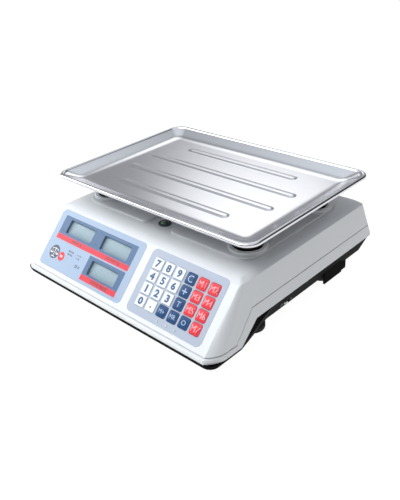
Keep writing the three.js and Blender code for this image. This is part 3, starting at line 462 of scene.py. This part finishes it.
def glyphs(text, x, y, height, low, high, bold=0.0, stretch=1.0, align="CENTER"):
    """Raised lettering of a given height, with its middle or its left edge at a place."""
    curve = bpy.data.curves.new("lettering", "FONT")
    curve.body = text
    curve.size = 1
    curve.extrude = 0.5
    curve.offset = bold
    curve.resolution_u = 3
    holder = bpy.data.objects.new("lettering", curve)
    bpy.context.scene.collection.objects.link(holder)
    bpy.context.view_layer.update()
    mesh = bpy.data.meshes.new_from_object(holder.evaluated_get(bpy.context.evaluated_depsgraph_get()))
    points = [v.co.copy() for v in mesh.vertices]
    faces = [tuple(p.vertices) for p in mesh.polygons]
    bpy.data.objects.remove(holder)
    bpy.data.curves.remove(curve)
    bpy.data.meshes.remove(mesh)
    left, right = min(p.x for p in points), max(p.x for p in points)
    bottom, top = min(p.y for p in points), max(p.y for p in points)
    scale = height / (top - bottom)
    shift = {"CENTER": (left + right) / 2, "LEFT": left}[align]
    placed = [
        (
            x + (p.x - shift) * scale * stretch,
            y + (p.y - (bottom + top) / 2) * scale,
            high if p.z > 0 else low,
        )
        for p in points
    ]
    return placed, faces


# ------------------------------------------------------------------ weighing tray

RIM_PROFILE = [  # inset from the tray's outline, depth below the rim
    (1.5, 4.5), (0.6, 4.55), (0.12, 4.2), (0.0, 3.4), (0.0, 2.2), (0.25, 1.3), (0.9, 0.55), (1.8, 0.12),
    (2.7, 0.0), (3.6, 0.12), (4.4, 0.5), (4.95, 1.05), (5.35, 1.7), (5.9, 2.1), (6.6, 2.35), (7.6, 2.75),
]
SLOPE_STEPS = (0.33, 0.67, 1.0)
SLOPE_END = (17.5, 7.0)
FLOOR_FILLET = [(19.5, 7.75), (21.5, 8.35), (24.0, 8.9), (27.0, 9.3), (30.0, 9.47), (33.0, 9.5)]
TRAY_CORNER = {"radius": 18, "shrink": 0.42, "least": 6, "arc": 12}
RIBS = [(-66, 95), (-22, 125), (22, 125), (66, 95)]  # distance from the middle, half length
RIB = {"half": 6.8, "flank": 4.6, "height": 1.1, "steps": 6, "apron": 1.2, "short": 0.01, "arc": 8}
SHEET = 0.8
TRAY_SHARP = 60


def tray_ring(box, inset, z):
    low, high = box
    radius = max(TRAY_CORNER["radius"] - TRAY_CORNER["shrink"] * inset, TRAY_CORNER["least"])
    return rounded(low.x + inset, high.x - inset, low.y + inset, high.y - inset, radius, z,
                   TRAY_CORNER["arc"])


def rib_ring(middle_x, y, half_length, inset, z):
    """A rib's outline, its ends a hair short of round so that no two points meet."""
    half = RIB["half"] - inset
    reach = half_length - inset
    return rounded(middle_x - reach, middle_x + reach, y - half, y + half, half - RIB["short"], z,
                   RIB["arc"])


def rib_levels():
    """Inset and rise of each ring up a rib's flank, with a flat apron at both ends."""
    steps, flank, height = RIB["steps"], RIB["flank"], RIB["height"]
    climb = [(flank * i / steps, height * smoothstep(i / steps)) for i in range(steps + 1)]
    return [(-RIB["apron"], 0.0), *climb, (flank + RIB["apron"], height)]


def make_tray():
    box = local_box("weighing_tray", UPRIGHT)
    low, high = box
    rim = high.z
    (start_inset, start_drop), (end_inset, end_drop) = RIM_PROFILE[-1], SLOPE_END
    slope = [
        (start_inset + (end_inset - start_inset) * t, start_drop + (end_drop - start_drop) * t)
        for t in SLOPE_STEPS
    ]
    rings = [tray_ring(box, inset, rim - drop) for inset, drop in RIM_PROFILE + slope + FLOOR_FILLET]
    skin = loft(rings, closed_start=False, closed_end=False)
    floor = rim - FLOOR_FILLET[-1][1]
    middle_x, middle_y = (low.x + high.x) / 2, (low.y + high.y) / 2
    holes, parts = [], [skin]
    for offset, half_length in RIBS:
        y = middle_y + offset
        holes.append(rib_ring(middle_x, y, half_length, -RIB["apron"], floor))
        parts.append(loft(
            [rib_ring(middle_x, y, half_length, inset, floor + rise) for inset, rise in rib_levels()],
            closed_start=False,
        ))
    loops = [rings[-1], *holes]
    triangles = tessellate_polygon([[Vector(p) for p in loop] for loop in loops])
    parts.append(([p for loop in loops for p in loop], [tuple(t) for t in triangles]))
    tray = add("tray_pan", merged(*parts), STEEL, "tray", sharp=TRAY_SHARP,
               replaces=("weighing_tray",))
    upwards = max(tray.data.polygons, key=lambda face: face.area)
    if upwards.normal.z < 0:
        tray.data.flip_normals()
    sheet = tray.modifiers.new("sheet", "SOLIDIFY")
    sheet.thickness = SHEET * MM
    sheet.offset = -1
    even = tray.modifiers.new("even", "WEIGHTED_NORMAL")
    even.keep_sharp = True


make_tray()

# ------------------------------------------------------------------ keys

LABELS = {
    "clear": "C", "add": "+", "tare": "T", "save": "M+", "recall": "MR", "zero": "O",
    "m1": "M1", "m2": "M2", "m3": "M3", "m4": "M4", "m5": "M5", "m6": "M6", "m7": "M7",
}
LABEL_HEIGHTS = {"add": 7.2, "zero": 5.6, "clear": 8.2, "tare": 6.4, "save": 5.2, "recall": 5.2}
MEMORY_HEIGHT = 7.4  # of the labels m1 to m7
LABEL_STRETCH = {1: 1.05, 2: 0.92}  # by the number of letters
LABEL_ROOT = 0.15  # how deep a label reaches into its cap
INK = 0.06  # how far a label stands above its cap
DIGIT = {"height": 9.5, "root": 0.4, "sunk": 0.08, "bold": 0.05, "stretch": 1.12}
POINT = {"down": 1.5, "radius": 1.15, "root": 0.3, "sunk": 0.12}
KEY_CORNER = {"radius": 1.1, "least": 0.5, "dish": 0.6, "arc": 8}
KEY_EDGE = ((0, 0.8), (0.06, 0.45), (0.25, 0.16), (0.55, 0.02), (0.8, 0))  # inset, depth below the top
KEY_DISH = ((2.2, 0.03), (4.0, 0.1), (6.0, 0.14))
DOME = {"edge": 6.35, "top": 5.3, "rise": 0.75, "crown": 0.1, "inset": 0.9}
DOME_RADII = (6.35, 6.2, 6.0, 5.8, 5.6, 5.4, 5.2, 4.0, 2.0, 0.6)


def dome_rise(radius):
    t = (DOME["edge"] - radius) / (DOME["edge"] - DOME["top"])
    crown = DOME["crown"] * (1 - min(radius / DOME["top"], 1) ** 2)
    return DOME["rise"] * smoothstep(t) + crown


def dome_ring(low, high, radius, z):
    """A circle whose points lie at the angles of the cap's outline, so that the two skin evenly."""
    inset, x, y = DOME["inset"], (low.x + high.x) / 2, (low.y + high.y) / 2
    outline = rounded(low.x + inset, high.x - inset, low.y + inset, high.y - inset, inset, z,
                      KEY_CORNER["arc"])
    angles = [math.atan2(py - y, px - x) for px, py, _ in outline]
    return [(x + radius * math.cos(a), y + radius * math.sin(a), z) for a in angles]


def key_shape(low, high, domed):
    """A cap in the console's frame: flat with a slight dish, or with a round dome."""
    def ring(inset, corner, z):
        return rounded(low.x + inset, high.x - inset, low.y + inset, high.y - inset, corner, z,
                       KEY_CORNER["arc"])

    top = high.z - (DOME["rise"] + DOME["crown"] if domed else 0)
    corner, least = KEY_CORNER["radius"], KEY_CORNER["least"]
    rings = [ring(0, corner, low.z)]
    rings += [ring(inset, max(corner - inset, least), top - drop) for inset, drop in KEY_EDGE]
    if domed:
        rings += [dome_ring(low, high, radius, top + dome_rise(radius)) for radius in DOME_RADII]
    else:
        rings += [ring(inset, KEY_CORNER["dish"], top - drop) for inset, drop in KEY_DISH]
    return loft(rings)


def domed_label(name, x, y, top):
    """Lettering that follows the dome of its cap."""
    base = top - DOME["rise"] - DOME["crown"]
    height = LABEL_HEIGHTS.get(name, MEMORY_HEIGHT)
    stretch = LABEL_STRETCH[len(LABELS[name])]
    points, faces = glyphs(LABELS[name], x, y, height, 0, 1, 0.0, stretch)
    draped = [
        (px, py, base + dome_rise(math.hypot(px - x, py - y)) + (INK if pz > 0.5 else -LABEL_ROOT))
        for px, py, pz in points
    ]
    return draped, faces


def decimal_point(x, y, top):
    y -= POINT["down"]
    return loft([circle(x, y, POINT["radius"], top - POINT["root"]),
                 circle(x, y, POINT["radius"], top + INK - POINT["sunk"])])


def make_keys():
    for node in sorted(n for n in NODES if n.startswith("key_")):
        name = node[len("key_"):]
        low, high = local_box(node, CONSOLE)
        x, y, top = (low.x + high.x) / 2, (low.y + high.y) / 2, high.z
        body = "button_" + name
        domed = name in LABELS
        if not domed:
            material, slot, ink = KEY_WHITE, "key_white", INK_NAVY
        elif name[0] == "m":
            material, slot, ink = KEY_RED, "key_red", INK_PINK
        else:
            material, slot, ink = KEY_NAVY, "key_navy", INK_PALE
        add("cap_" + name, key_shape(low, high, domed), material, body, CONSOLE, replaces=(node,))
        if domed:
            label = domed_label(name, x, y, top)
        elif name == "point":
            label = decimal_point(x, y, top)
        else:
            label = glyphs(name, x, y, DIGIT["height"], top - DIGIT["root"], top + INK - DIGIT["sunk"],
                           DIGIT["bold"], DIGIT["stretch"])
        add("label_" + name, label, ink, body, CONSOLE)


make_keys()

# ------------------------------------------------------------------ printed overlay

ROOT = -0.05  # how far a print reaches into its film
FRONT = 0.05  # how far it stands above it
INK_FRONT = FRONT + 0.04  # how far lettering stands above the film
WINDOW = {"border": 1.6, "corner": 0.8, "arc": 3}
UPPER_BAND = (-139, 6.7, 47, 73.2, 0.5)  # left, right, front, rear, corner
LOWER_BAND = (-63.4, 5.5, 12, 37.8, 0.5)
STRIPES = ((-139, 6.7, 39.8, 46.9, 0.4), (-63.4, 5.5, 4.6, 11.9, 0.4))
WORDS = (  # text, place, height
    ("WEIGHT  kg", -97, 43.4, 3.8), ("UNIT PRICE  /kg", -24, 43.4, 3.8), ("TOTAL PRICE", -27, 8.3, 4.0),
)
WORD_BOLD = 0.035
MARKS = (("kg", -132.5, 53, 3.0), ("/kg", -63.5, 53, 3.0), ("=", -59.6, 17, 1.6))
MARK_BOLD = 0.01
RATINGS = (  # text, left edge, place up the panel, height, boldness, stretch
    ("MAX 40 kg", -103.5, 30.4, 2.6, 0.05, 0.9), ("MIN 100 g", -103.5, 26.2, 2.6, 0.05, 0.9),
    ("e = d = 5 g", -86, 30.4, 2.4, 0.03, 0.8), ("T = -9 kg", -86, 26.2, 2.4, 0.03, 0.8),
)
CLASS_RING = {"place": (-78.5, 16.6), "outer": 2.2, "inner": 1.2}
CLASS_TEXT = ("III", -73, 16.6, 3.0)
CLASS_BOLD = 0.02


def panel_print(name, shape, ink):
    """Adds a print on the display film."""
    add(name, shape, ink, "case", CONSOLE)


def lettering(rows, bold):
    return merged(*(glyphs(text, x, y, height, 0, INK_FRONT, bold) for text, x, y, height in rows))


def window_hole(node):
    """The window over a display cell, in the console's frame."""
    low, high = local_box(node, CONSOLE)
    border = WINDOW["border"]
    return rounded(low.x + border, high.x - border, low.y + border, high.y - border,
                   WINDOW["corner"], 0, WINDOW["arc"])


def make_prints():
    upper = flat_plate(rounded(*UPPER_BAND), [window_hole("lcd_weight"), window_hole("lcd_unit_price")],
                       ROOT, FRONT)
    lower = flat_plate(rounded(*LOWER_BAND), [window_hole("lcd_total_price")], ROOT, FRONT)
    panel_print("print_windows", merged(upper, lower), PRINT_SLATE)
    stripes = merged(*(flat_plate(rounded(*stripe), [], ROOT, FRONT) for stripe in STRIPES))
    panel_print("print_stripes", stripes, PRINT_RED)
    panel_print("print_words", lettering(WORDS, WORD_BOLD), INK_MAROON)
    panel_print("print_marks", lettering(MARKS, MARK_BOLD), INK_NAVY)
    ring_outer = circle(*CLASS_RING["place"], CLASS_RING["outer"])
    ring_inner = circle(*CLASS_RING["place"], CLASS_RING["inner"])
    lines = merged(
        *(glyphs(text, x, y, height, 0, INK_FRONT, bold, stretch, "LEFT")
          for text, x, y, height, bold, stretch in RATINGS),
        flat_plate(ring_outer, [ring_inner], 0, FRONT),
        lettering([CLASS_TEXT], CLASS_BOLD),
    )
    panel_print("print_ratings", lines, INK_DARK)


def bar(x0, y0, x1, y1, width, low, high):
    """A straight printed line."""
    along = Vector((x1 - x0, y1 - y0)).normalized() * width / 2
    side = Vector((-along.y, along.x))
    corners = [Vector((x0, y0)) - along - side, Vector((x1, y1)) + along - side,
               Vector((x1, y1)) + along + side, Vector((x0, y0)) - along + side]
    return flat_plate([(p.x, p.y, 0) for p in corners], [], low, high)


BALANCE_DISC = {"place": (-128.5, 21.5), "radius": 9.6, "sides": 48}
BALANCE_STROKES = (  # post, beam and foot: both ends and the width
    (-128.5, 15.2, -128.5, 27.2, 0.9), (-134.2, 26.0, -122.8, 26.0, 0.8), (-131.8, 15.0, -125.2, 15.0, 1.0),
)
PANS = (-134.0, -123.0)  # where the pans hang from the beam
CHAIN = {"top": 26, "foot": 20.8, "spread": 2.4, "width": 0.35}
PAN = {"top": 20.6, "half": 3.0, "depth": 1.9, "steps": 12}
UNIT_DISC = {"place": (-112.4, 19.6), "radius": 6.2, "sides": 40}
UNIT = {"height": 5.6, "bold": 0.02}


def disc(shape):
    outline = circle(*shape["place"], shape["radius"], 0, shape["sides"])
    return flat_plate(outline, [], ROOT, FRONT)


def make_pictogram():
    """A plain pair of balance pans on a dark disc, and a red disc with the unit of weight."""
    panel_print("print_disc", disc(BALANCE_DISC), INK_DARK)
    strokes = [bar(*stroke, 0, INK_FRONT) for stroke in BALANCE_STROKES]
    for x in PANS:
        for spread in (-CHAIN["spread"], CHAIN["spread"]):
            strokes.append(bar(x, CHAIN["top"], x + spread, CHAIN["foot"], CHAIN["width"], 0, INK_FRONT))
        angles = [i * math.pi / PAN["steps"] for i in range(PAN["steps"] + 1)]
        pan = [(x + PAN["half"] * math.cos(a), PAN["top"] - PAN["depth"] * math.sin(a), 0) for a in angles]
        strokes.append(flat_plate(pan[::-1], [], 0, INK_FRONT))
    panel_print("print_balance", merged(*strokes), INK_WHITE)
    panel_print("print_unit_disc", disc(UNIT_DISC), PRINT_RED)
    unit = glyphs("kg", *UNIT_DISC["place"], UNIT["height"], 0, INK_FRONT, UNIT["bold"])
    panel_print("print_unit", unit, INK_WHITE)


make_prints()
make_pictogram()

# ------------------------------------------------------------------ display cells

SEGMENTS = {  # two ends of each segment, as shares of the digit's width and height
    "a": ((0, 1), (1, 1)), "b": ((1, 1), (1, 0.5)), "c": ((1, 0.5), (1, 0)), "d": ((0, 0), (1, 0)),
    "e": ((0, 0), (0, 0.5)), "f": ((0, 0.5), (0, 1)), "g": ((0, 0.5), (1, 0.5)),
}
SEGMENT = {"width": 1.5, "gap": 0.2}  # the gap at each end is a share of the width
DIGITS = {"count": 5, "lean": 0.08, "width": 0.56, "height": 0.64, "start": 0.2}  # sizes are shares
DECIMAL = {"gap": 1.7, "radius": 0.65, "sides": 12}
CELL = {"floor": -4.2, "margin": 1.7, "digits": 2, "arc": 3}
GLASS = ((0, 0.5, 0.02), (0, 0.5, 0.6), (0.15, 0.4, 0.7))  # inset, corner, height over the floor
GHOST = (0.6, 0.73)


def segment_shape(start, end, low, high):
    """One display segment, a bar with pointed ends."""
    a, b, width = Vector(start), Vector(end), SEGMENT["width"]
    along = (b - a).normalized()
    a, b = a + along * width * SEGMENT["gap"], b - along * width * SEGMENT["gap"]
    side = Vector((-along.y, along.x)) * width / 2
    inner = along * width / 2
    corners = [a, a + inner - side, b - inner - side, b, b - inner + side, a + inner + side]
    return flat_plate([(p.x, p.y, 0) for p in corners], [], low, high)


def digit_row(left, right, front, rear, low, high):
    """Empty seven-segment digits with their decimal points."""
    pitch = (right - left) / DIGITS["count"]
    width, height = pitch * DIGITS["width"], (rear - front) * DIGITS["height"]
    base, lean = (front + rear - height) / 2, height * DIGITS["lean"]
    parts = []
    for i in range(DIGITS["count"]):
        x = left + pitch * (i + DIGITS["start"])
        for (ax, ay), (bx, by) in SEGMENTS.values():
            start = (x + ax * width + ay * lean, base + ay * height)
            end = (x + bx * width + by * lean, base + by * height)
            parts.append(segment_shape(start, end, low, high))
        parts.append(loft([
            circle(x + width + DECIMAL["gap"], base, DECIMAL["radius"], z, DECIMAL["sides"])
            for z in (low, high)
        ]))
    return merged(*parts)


def make_cells():
    for node in CELL_NODES:
        low, high = local_box(node, CONSOLE)
        floor, margin, inside = CELL["floor"], CELL["margin"], CELL["digits"]
        left, right, front, rear = low.x + margin, high.x - margin, low.y + margin, high.y - margin
        glass = loft([
            rounded(left + inset, right - inset, front + inset, rear - inset, corner, floor + rise,
                    CELL["arc"])
            for inset, corner, rise in GLASS
        ])
        add("glass_" + node, glass, LCD_GLASS, "case", CONSOLE)
        ghost = digit_row(left + inside, right - inside, front, rear, *(floor + rise for rise in GHOST))
        add("ghost_" + node, ghost, LCD_GHOST, "case", CONSOLE)


make_cells()

# ------------------------------------------------------------------ feet and level

PAD_PROFILE = (  # inset from the pad's edge, height, depth of the knurling
    (3.2, 0.0, 0), (1.2, 0.0, 0), (0.4, 0.35, 0.3), (0, 1.2, 0.7), (0, 5.6, 0.7),
    (0.5, 6.5, 0.5), (1.5, 7.0, 0.1), (9.6, 7.0, 0), (10.6, 6.6, 0), (10.9, 3.0, 0),
)
PAD = {"sides": 144, "knurls": 24, "sharp": 50}
LEVEL_RISE = 2.9  # of the bubble's top over the deck
CUP_SHANK = {"radius": 6.9, "top": 0.05}
CUP_FLANGE = ((0.2, 0.05), (0, 0.3), (0, 1.0), (0.5, 1.5))  # inset from the rim, height over the deck
CUP_BORE = ((5.5, 1.6), (5.3, 1.3), (5.2, -1.0))  # radius, height over the deck
VIAL_PROFILE = ((5.1, -0.9), (5.1, 1.2), (4.6, 1.9), (3.6, 2.35), (2.2, 2.65), (0.8, 2.8))
VIAL_MARK = {"outer": 2.1, "inner": 1.8, "low": 2.3, "high": 2.84}
BUBBLE_PROFILE = ((1.3, 2.3), (1.3, 2.78), (0.9, 2.86), (0.4, 2.9))
BUBBLE_PLACE = (0.5, -0.4)  # from the middle of the level
BUBBLE_SIDES = 24


def pad_ring(x, y, radius, depth, z):
    """A circle with the pad's knurling cut into it."""
    ring = []
    for k in range(PAD["sides"]):
        angle = k * math.tau / PAD["sides"]
        wave = 0.5 - 0.5 * math.cos(PAD["knurls"] * angle)
        reach = radius - depth * wave
        ring.append((x + reach * math.cos(angle), y + reach * math.sin(angle), z))
    return ring


def make_feet():
    for i in FOUR:
        node = f"foot_pad_{i}"
        low, high = local_box(node, UPRIGHT)
        x, y, radius = (low.x + high.x) / 2, (low.y + high.y) / 2, (high.x - low.x) / 2
        rings = [pad_ring(x, y, radius - inset, depth, z) for inset, z, depth in PAD_PROFILE]
        add(f"pad_rubber_{i}", loft(rings), RUBBER, f"pad_{i}", sharp=PAD["sharp"],
            replaces=(node,))


def make_level():
    low, high = local_box("bubble_level", UPRIGHT)
    x, y = (low.x + high.x) / 2, (low.y + high.y) / 2
    rim = (high.x - low.x) / 2
    deck = high.z - LEVEL_RISE
    shank = [(CUP_SHANK["radius"], low.z), (CUP_SHANK["radius"], deck + CUP_SHANK["top"])]
    flange = [(rim - inset, deck + z) for inset, z in CUP_FLANGE]
    bore = [(radius, deck + z) for radius, z in CUP_BORE]
    add("level_cup", turned(shank + flange + bore, x, y), INK_DARK, "case",
        replaces=("bubble_level",))
    dome = turned([(radius, deck + z) for radius, z in VIAL_PROFILE], x, y)
    add("level_vial", dome, VIAL, "case")
    mark = flat_plate(circle(x, y, VIAL_MARK["outer"]), [circle(x, y, VIAL_MARK["inner"])],
                      deck + VIAL_MARK["low"], deck + VIAL_MARK["high"])
    add("level_mark", mark, INK_DARK, "case")
    bubble = turned([(radius, deck + z) for radius, z in BUBBLE_PROFILE],
                    x + BUBBLE_PLACE[0], y + BUBBLE_PLACE[1], BUBBLE_SIDES)
    add("level_bubble", bubble, BUBBLE, "case")


make_feet()
make_level()

# ------------------------------------------------------------------ switch marks and customer side

BASE_WALL = {"foot": (157.0, 10.0), "edge": (168.8, 37.0)}  # x and z; the wall leans outwards
HALF_TRAVEL = 2  # the knob rests this far before the middle of its slot
SWITCH_PRINT = (-0.2, 0.12)  # how deep and how far out of the wall
ON_MARK = {"place": 9.0, "half": 1.8, "width": 0.7}
OFF_MARK = {"place": -9.5, "outer": 2.0, "inner": 1.4}

CUSTOMER_COLUMNS = ((-74, "WEIGHT  kg"), (0, "UNIT PRICE  /kg"), (74, "TOTAL PRICE"))
CUSTOMER_EDGE = {"margin": 0.6, "corner": 2, "arc": 5}
CUSTOMER_WINDOW = {"half": 27, "front": -7, "rear": 8.4, "corner": 1, "arc": 3}
CUSTOMER_STRIPE = {"half": 27, "front": -11.8, "rear": -8.2, "corner": 0.3, "arc": 6}
CUSTOMER_CELL = {"half": 25, "front": -5.8, "rear": 7.2, "corner": 0.6, "arc": 3}
CUSTOMER_DIGITS = 23  # half the row's width
EDGE_BAND = 0.5  # points this near the display's lower or upper edge are on it
CUSTOMER_TEXT = {"place": -10, "height": 2.2, "bold": 0.01}
CUSTOMER_LAYERS = {  # lower and upper face over the rear wall
    "surround": (-0.1, 0.12), "stripe": (0, 0.16), "words": (0, 0.2), "cell": (-0.05, 0.04),
    "ghost": (0, 0.07),
}


def wall_space(x, y, z, slope):
    """A frame in mm on the right-hand base wall: x along +Y, y up the wall, z outwards."""
    normal = Vector((math.cos(slope), 0, -math.sin(slope)))
    across = Vector((0, 1, 0))
    up = normal.cross(across)
    turn = Matrix((across, up, normal)).transposed().to_4x4()
    return Matrix.Translation(Vector((x, y, z)) * MM) @ turn @ UPRIGHT


def make_switch_marks():
    knob_low, knob_high = local_box("power_switch_knob", UPRIGHT)
    (foot_x, foot_z), (edge_x, edge_z) = BASE_WALL["foot"], BASE_WALL["edge"]
    slope = math.atan2(edge_x - foot_x, edge_z - foot_z)
    z = (knob_low.z + knob_high.z) / 2
    x = foot_x + (z - foot_z) * math.tan(slope)
    y = (knob_low.y + knob_high.y) / 2 + HALF_TRAVEL
    at, half = ON_MARK["place"], ON_MARK["half"]
    marks = merged(
        bar(at, -half, at, half, ON_MARK["width"], *SWITCH_PRINT),
        flat_plate(circle(OFF_MARK["place"], 0, OFF_MARK["outer"]),
                   [circle(OFF_MARK["place"], 0, OFF_MARK["inner"])], *SWITCH_PRINT),
    )
    add("switch_marks", marks, INK_FAINT, "case", wall_space(x, y, z, slope))


def rear_space(low, high):
    """A frame in mm on the rear wall (x to the customer's right, y up the wall, z outwards), and
    the display's height along that wall."""
    points = [v.co / MM for v in NODES["customer_display"].data.vertices]
    lower = max(p.y for p in points if p.z < low.z + EDGE_BAND)
    upper = max(p.y for p in points if p.z > high.z - EDGE_BAND)
    climb = Vector((0, upper - lower, high.z - low.z))
    across = Vector((-1, 0, 0))
    up = climb.normalized()
    turn = Matrix((across, up, across.cross(up))).transposed().to_4x4()
    middle = Vector((0, (lower + upper) / 2, (low.z + high.z) / 2))
    return Matrix.Translation(middle * MM) @ turn @ UPRIGHT, climb.length


def column_outline(x, shape, z=0.0):
    """A rounded rectangle over one of the customer's three columns."""
    return rounded(x - shape["half"], x + shape["half"], shape["front"], shape["rear"], shape["corner"], z,
                   shape["arc"])


def make_customer_side():
    low, high = local_box("customer_display", UPRIGHT)
    space, height = rear_space(low, high)
    half = (high.x - low.x) / 2 - CUSTOMER_EDGE["margin"]
    tall = height / 2 - CUSTOMER_EDGE["margin"]
    outline = rounded(-half, half, -tall, tall, CUSTOMER_EDGE["corner"], 0, CUSTOMER_EDGE["arc"])
    windows = [column_outline(x, CUSTOMER_WINDOW) for x, _ in CUSTOMER_COLUMNS]
    surround = flat_plate(outline, windows, *CUSTOMER_LAYERS["surround"])
    add("customer_surround", surround, FILM_BLUE, "case", space)
    stripes = merged(*(
        flat_plate(column_outline(x, CUSTOMER_STRIPE), [], *CUSTOMER_LAYERS["stripe"])
        for x, _ in CUSTOMER_COLUMNS
    ))
    add("customer_stripes", stripes, PRINT_RED, "case", space)
    words = merged(*(
        glyphs(text, x, CUSTOMER_TEXT["place"], CUSTOMER_TEXT["height"], *CUSTOMER_LAYERS["words"],
               CUSTOMER_TEXT["bold"])
        for x, text in CUSTOMER_COLUMNS
    ))
    add("customer_words", words, INK_MAROON, "case", space)
    for i, (x, _) in enumerate(CUSTOMER_COLUMNS, 1):
        cell = loft([column_outline(x, CUSTOMER_CELL, z) for z in CUSTOMER_LAYERS["cell"]])
        add(f"customer_glass_{i}", cell, LCD_GLASS, "case", space)
        ghost = digit_row(x - CUSTOMER_DIGITS, x + CUSTOMER_DIGITS, CUSTOMER_CELL["front"],
                          CUSTOMER_CELL["rear"], *CUSTOMER_LAYERS["ghost"])
        add(f"customer_ghost_{i}", ghost, LCD_GHOST, "case", space)


make_switch_marks()
make_customer_side()

# ------------------------------------------------------------------ studio

FLOOR_REACH = 30.0  # metres
LIGHTS = (  # name, place, what it faces, width and height (all in metres), watts, colour
    ("side", (-1.8, -0.7, 0.9), (0, 0, 0.05), (1.2, 1.2), 23, (0.93, 0.97, 1.0)),
    ("key", (-1.15, -1.2, 1.8), (0, -0.05, 0.05), (1.2, 1.2), 26, (0.95, 0.98, 1.0)),
    ("top", (-0.2, -0.9, 2.1), (0, 0, 0.05), (1.4, 1.4), 13, (0.97, 0.985, 1.0)),
)
ROOM = (0.035, 0.036, 0.037)
CARDS = (  # colour; azimuth from straight behind the scale, elevation, outer and inner angle, in degrees
    ((0.36, 0.37, 0.39), (0, 20, 60, 25)),  # a grey card behind
    ((0.28, 0.285, 0.29), (180, 22, 50, 25)),  # a darker one in front
    ((1.65, 1.67, 1.7), (-8, 30, 13, 2)),  # the glow that the tray reflects
    ((0.92, 0.97, 1.03), (0, 90, 52, 30)),  # a pale ceiling
)


def make_floor():
    mesh = bpy.data.meshes.new("floor")
    corners = [(-1, -1), (1, -1), (1, 1), (-1, 1)]
    mesh.from_pydata([(x * FLOOR_REACH, y * FLOOR_REACH, 0) for x, y in corners], [], [(0, 1, 2, 3)])
    mesh.materials.append(FLOOR)
    floor = bpy.data.objects.new("floor", mesh)
    bpy.context.scene.collection.objects.link(floor)


def area_light(name, place, target, size, power, color):
    data = bpy.data.lights.new(name, "AREA")
    data.shape = "RECTANGLE"
    data.size, data.size_y = size
    data.energy = power
    data.color = color
    light = bpy.data.objects.new(name, data)
    bpy.context.scene.collection.objects.link(light)
    light.location = place
    light.rotation_euler = (Vector(target) - Vector(place)).to_track_quat("-Z", "Y").to_euler()


def make_world():
    """A dim room with soft cards behind, in front of and above the scale, for the steel to reflect."""
    world = bpy.data.worlds.new("studio")
    bpy.context.scene.world = world
    world.use_nodes = True
    nodes, links = world.node_tree.nodes, world.node_tree.links
    background = nodes["Background"]
    place = nodes.new("ShaderNodeTexCoord")

    def within(azimuth, elevation, outer, inner):
        """How near a direction lies to another: 0 beyond the outer angle, 1 inside the inner one."""
        near = nodes.new("ShaderNodeVectorMath")
        near.operation = "DOT_PRODUCT"
        azimuth, elevation = math.radians(azimuth), math.radians(elevation)
        near.inputs[1].default_value = (
            -math.sin(azimuth) * math.cos(elevation),
            math.cos(azimuth) * math.cos(elevation),
            math.sin(elevation),
        )
        links.new(place.outputs["Generated"], near.inputs[0])
        share = nodes.new("ShaderNodeMapRange")
        share.interpolation_type = "SMOOTHSTEP"
        socket(share, "From Min", math.cos(math.radians(outer)))
        socket(share, "From Max", math.cos(math.radians(inner)))
        links.new(near.outputs["Value"], share.inputs["Value"])
        return share.outputs["Result"]

    def layer(under, color, factor):
        """Lays a colour over what is there already, by a factor."""
        mix = nodes.new("ShaderNodeMix")
        mix.data_type = "RGBA"
        links.new(under, mix.inputs["A"])
        mix.inputs["B"].default_value = rgba(color)
        links.new(factor, mix.inputs["Factor"])
        return mix.outputs["Result"]

    room = nodes.new("ShaderNodeRGB")
    room.outputs["Color"].default_value = rgba(ROOM)
    shade = room.outputs["Color"]
    for color, (azimuth, elevation, outer, inner) in CARDS:
        shade = layer(shade, color, within(CAMERA["azimuth"] + azimuth, elevation, outer, inner))
    links.new(shade, background.inputs["Color"])
    socket(background, "Strength", 1.0)


make_floor()
make_world()
for light in LIGHTS:
    area_light(*light)
bpy.context.scene.view_settings.view_transform = "Standard"
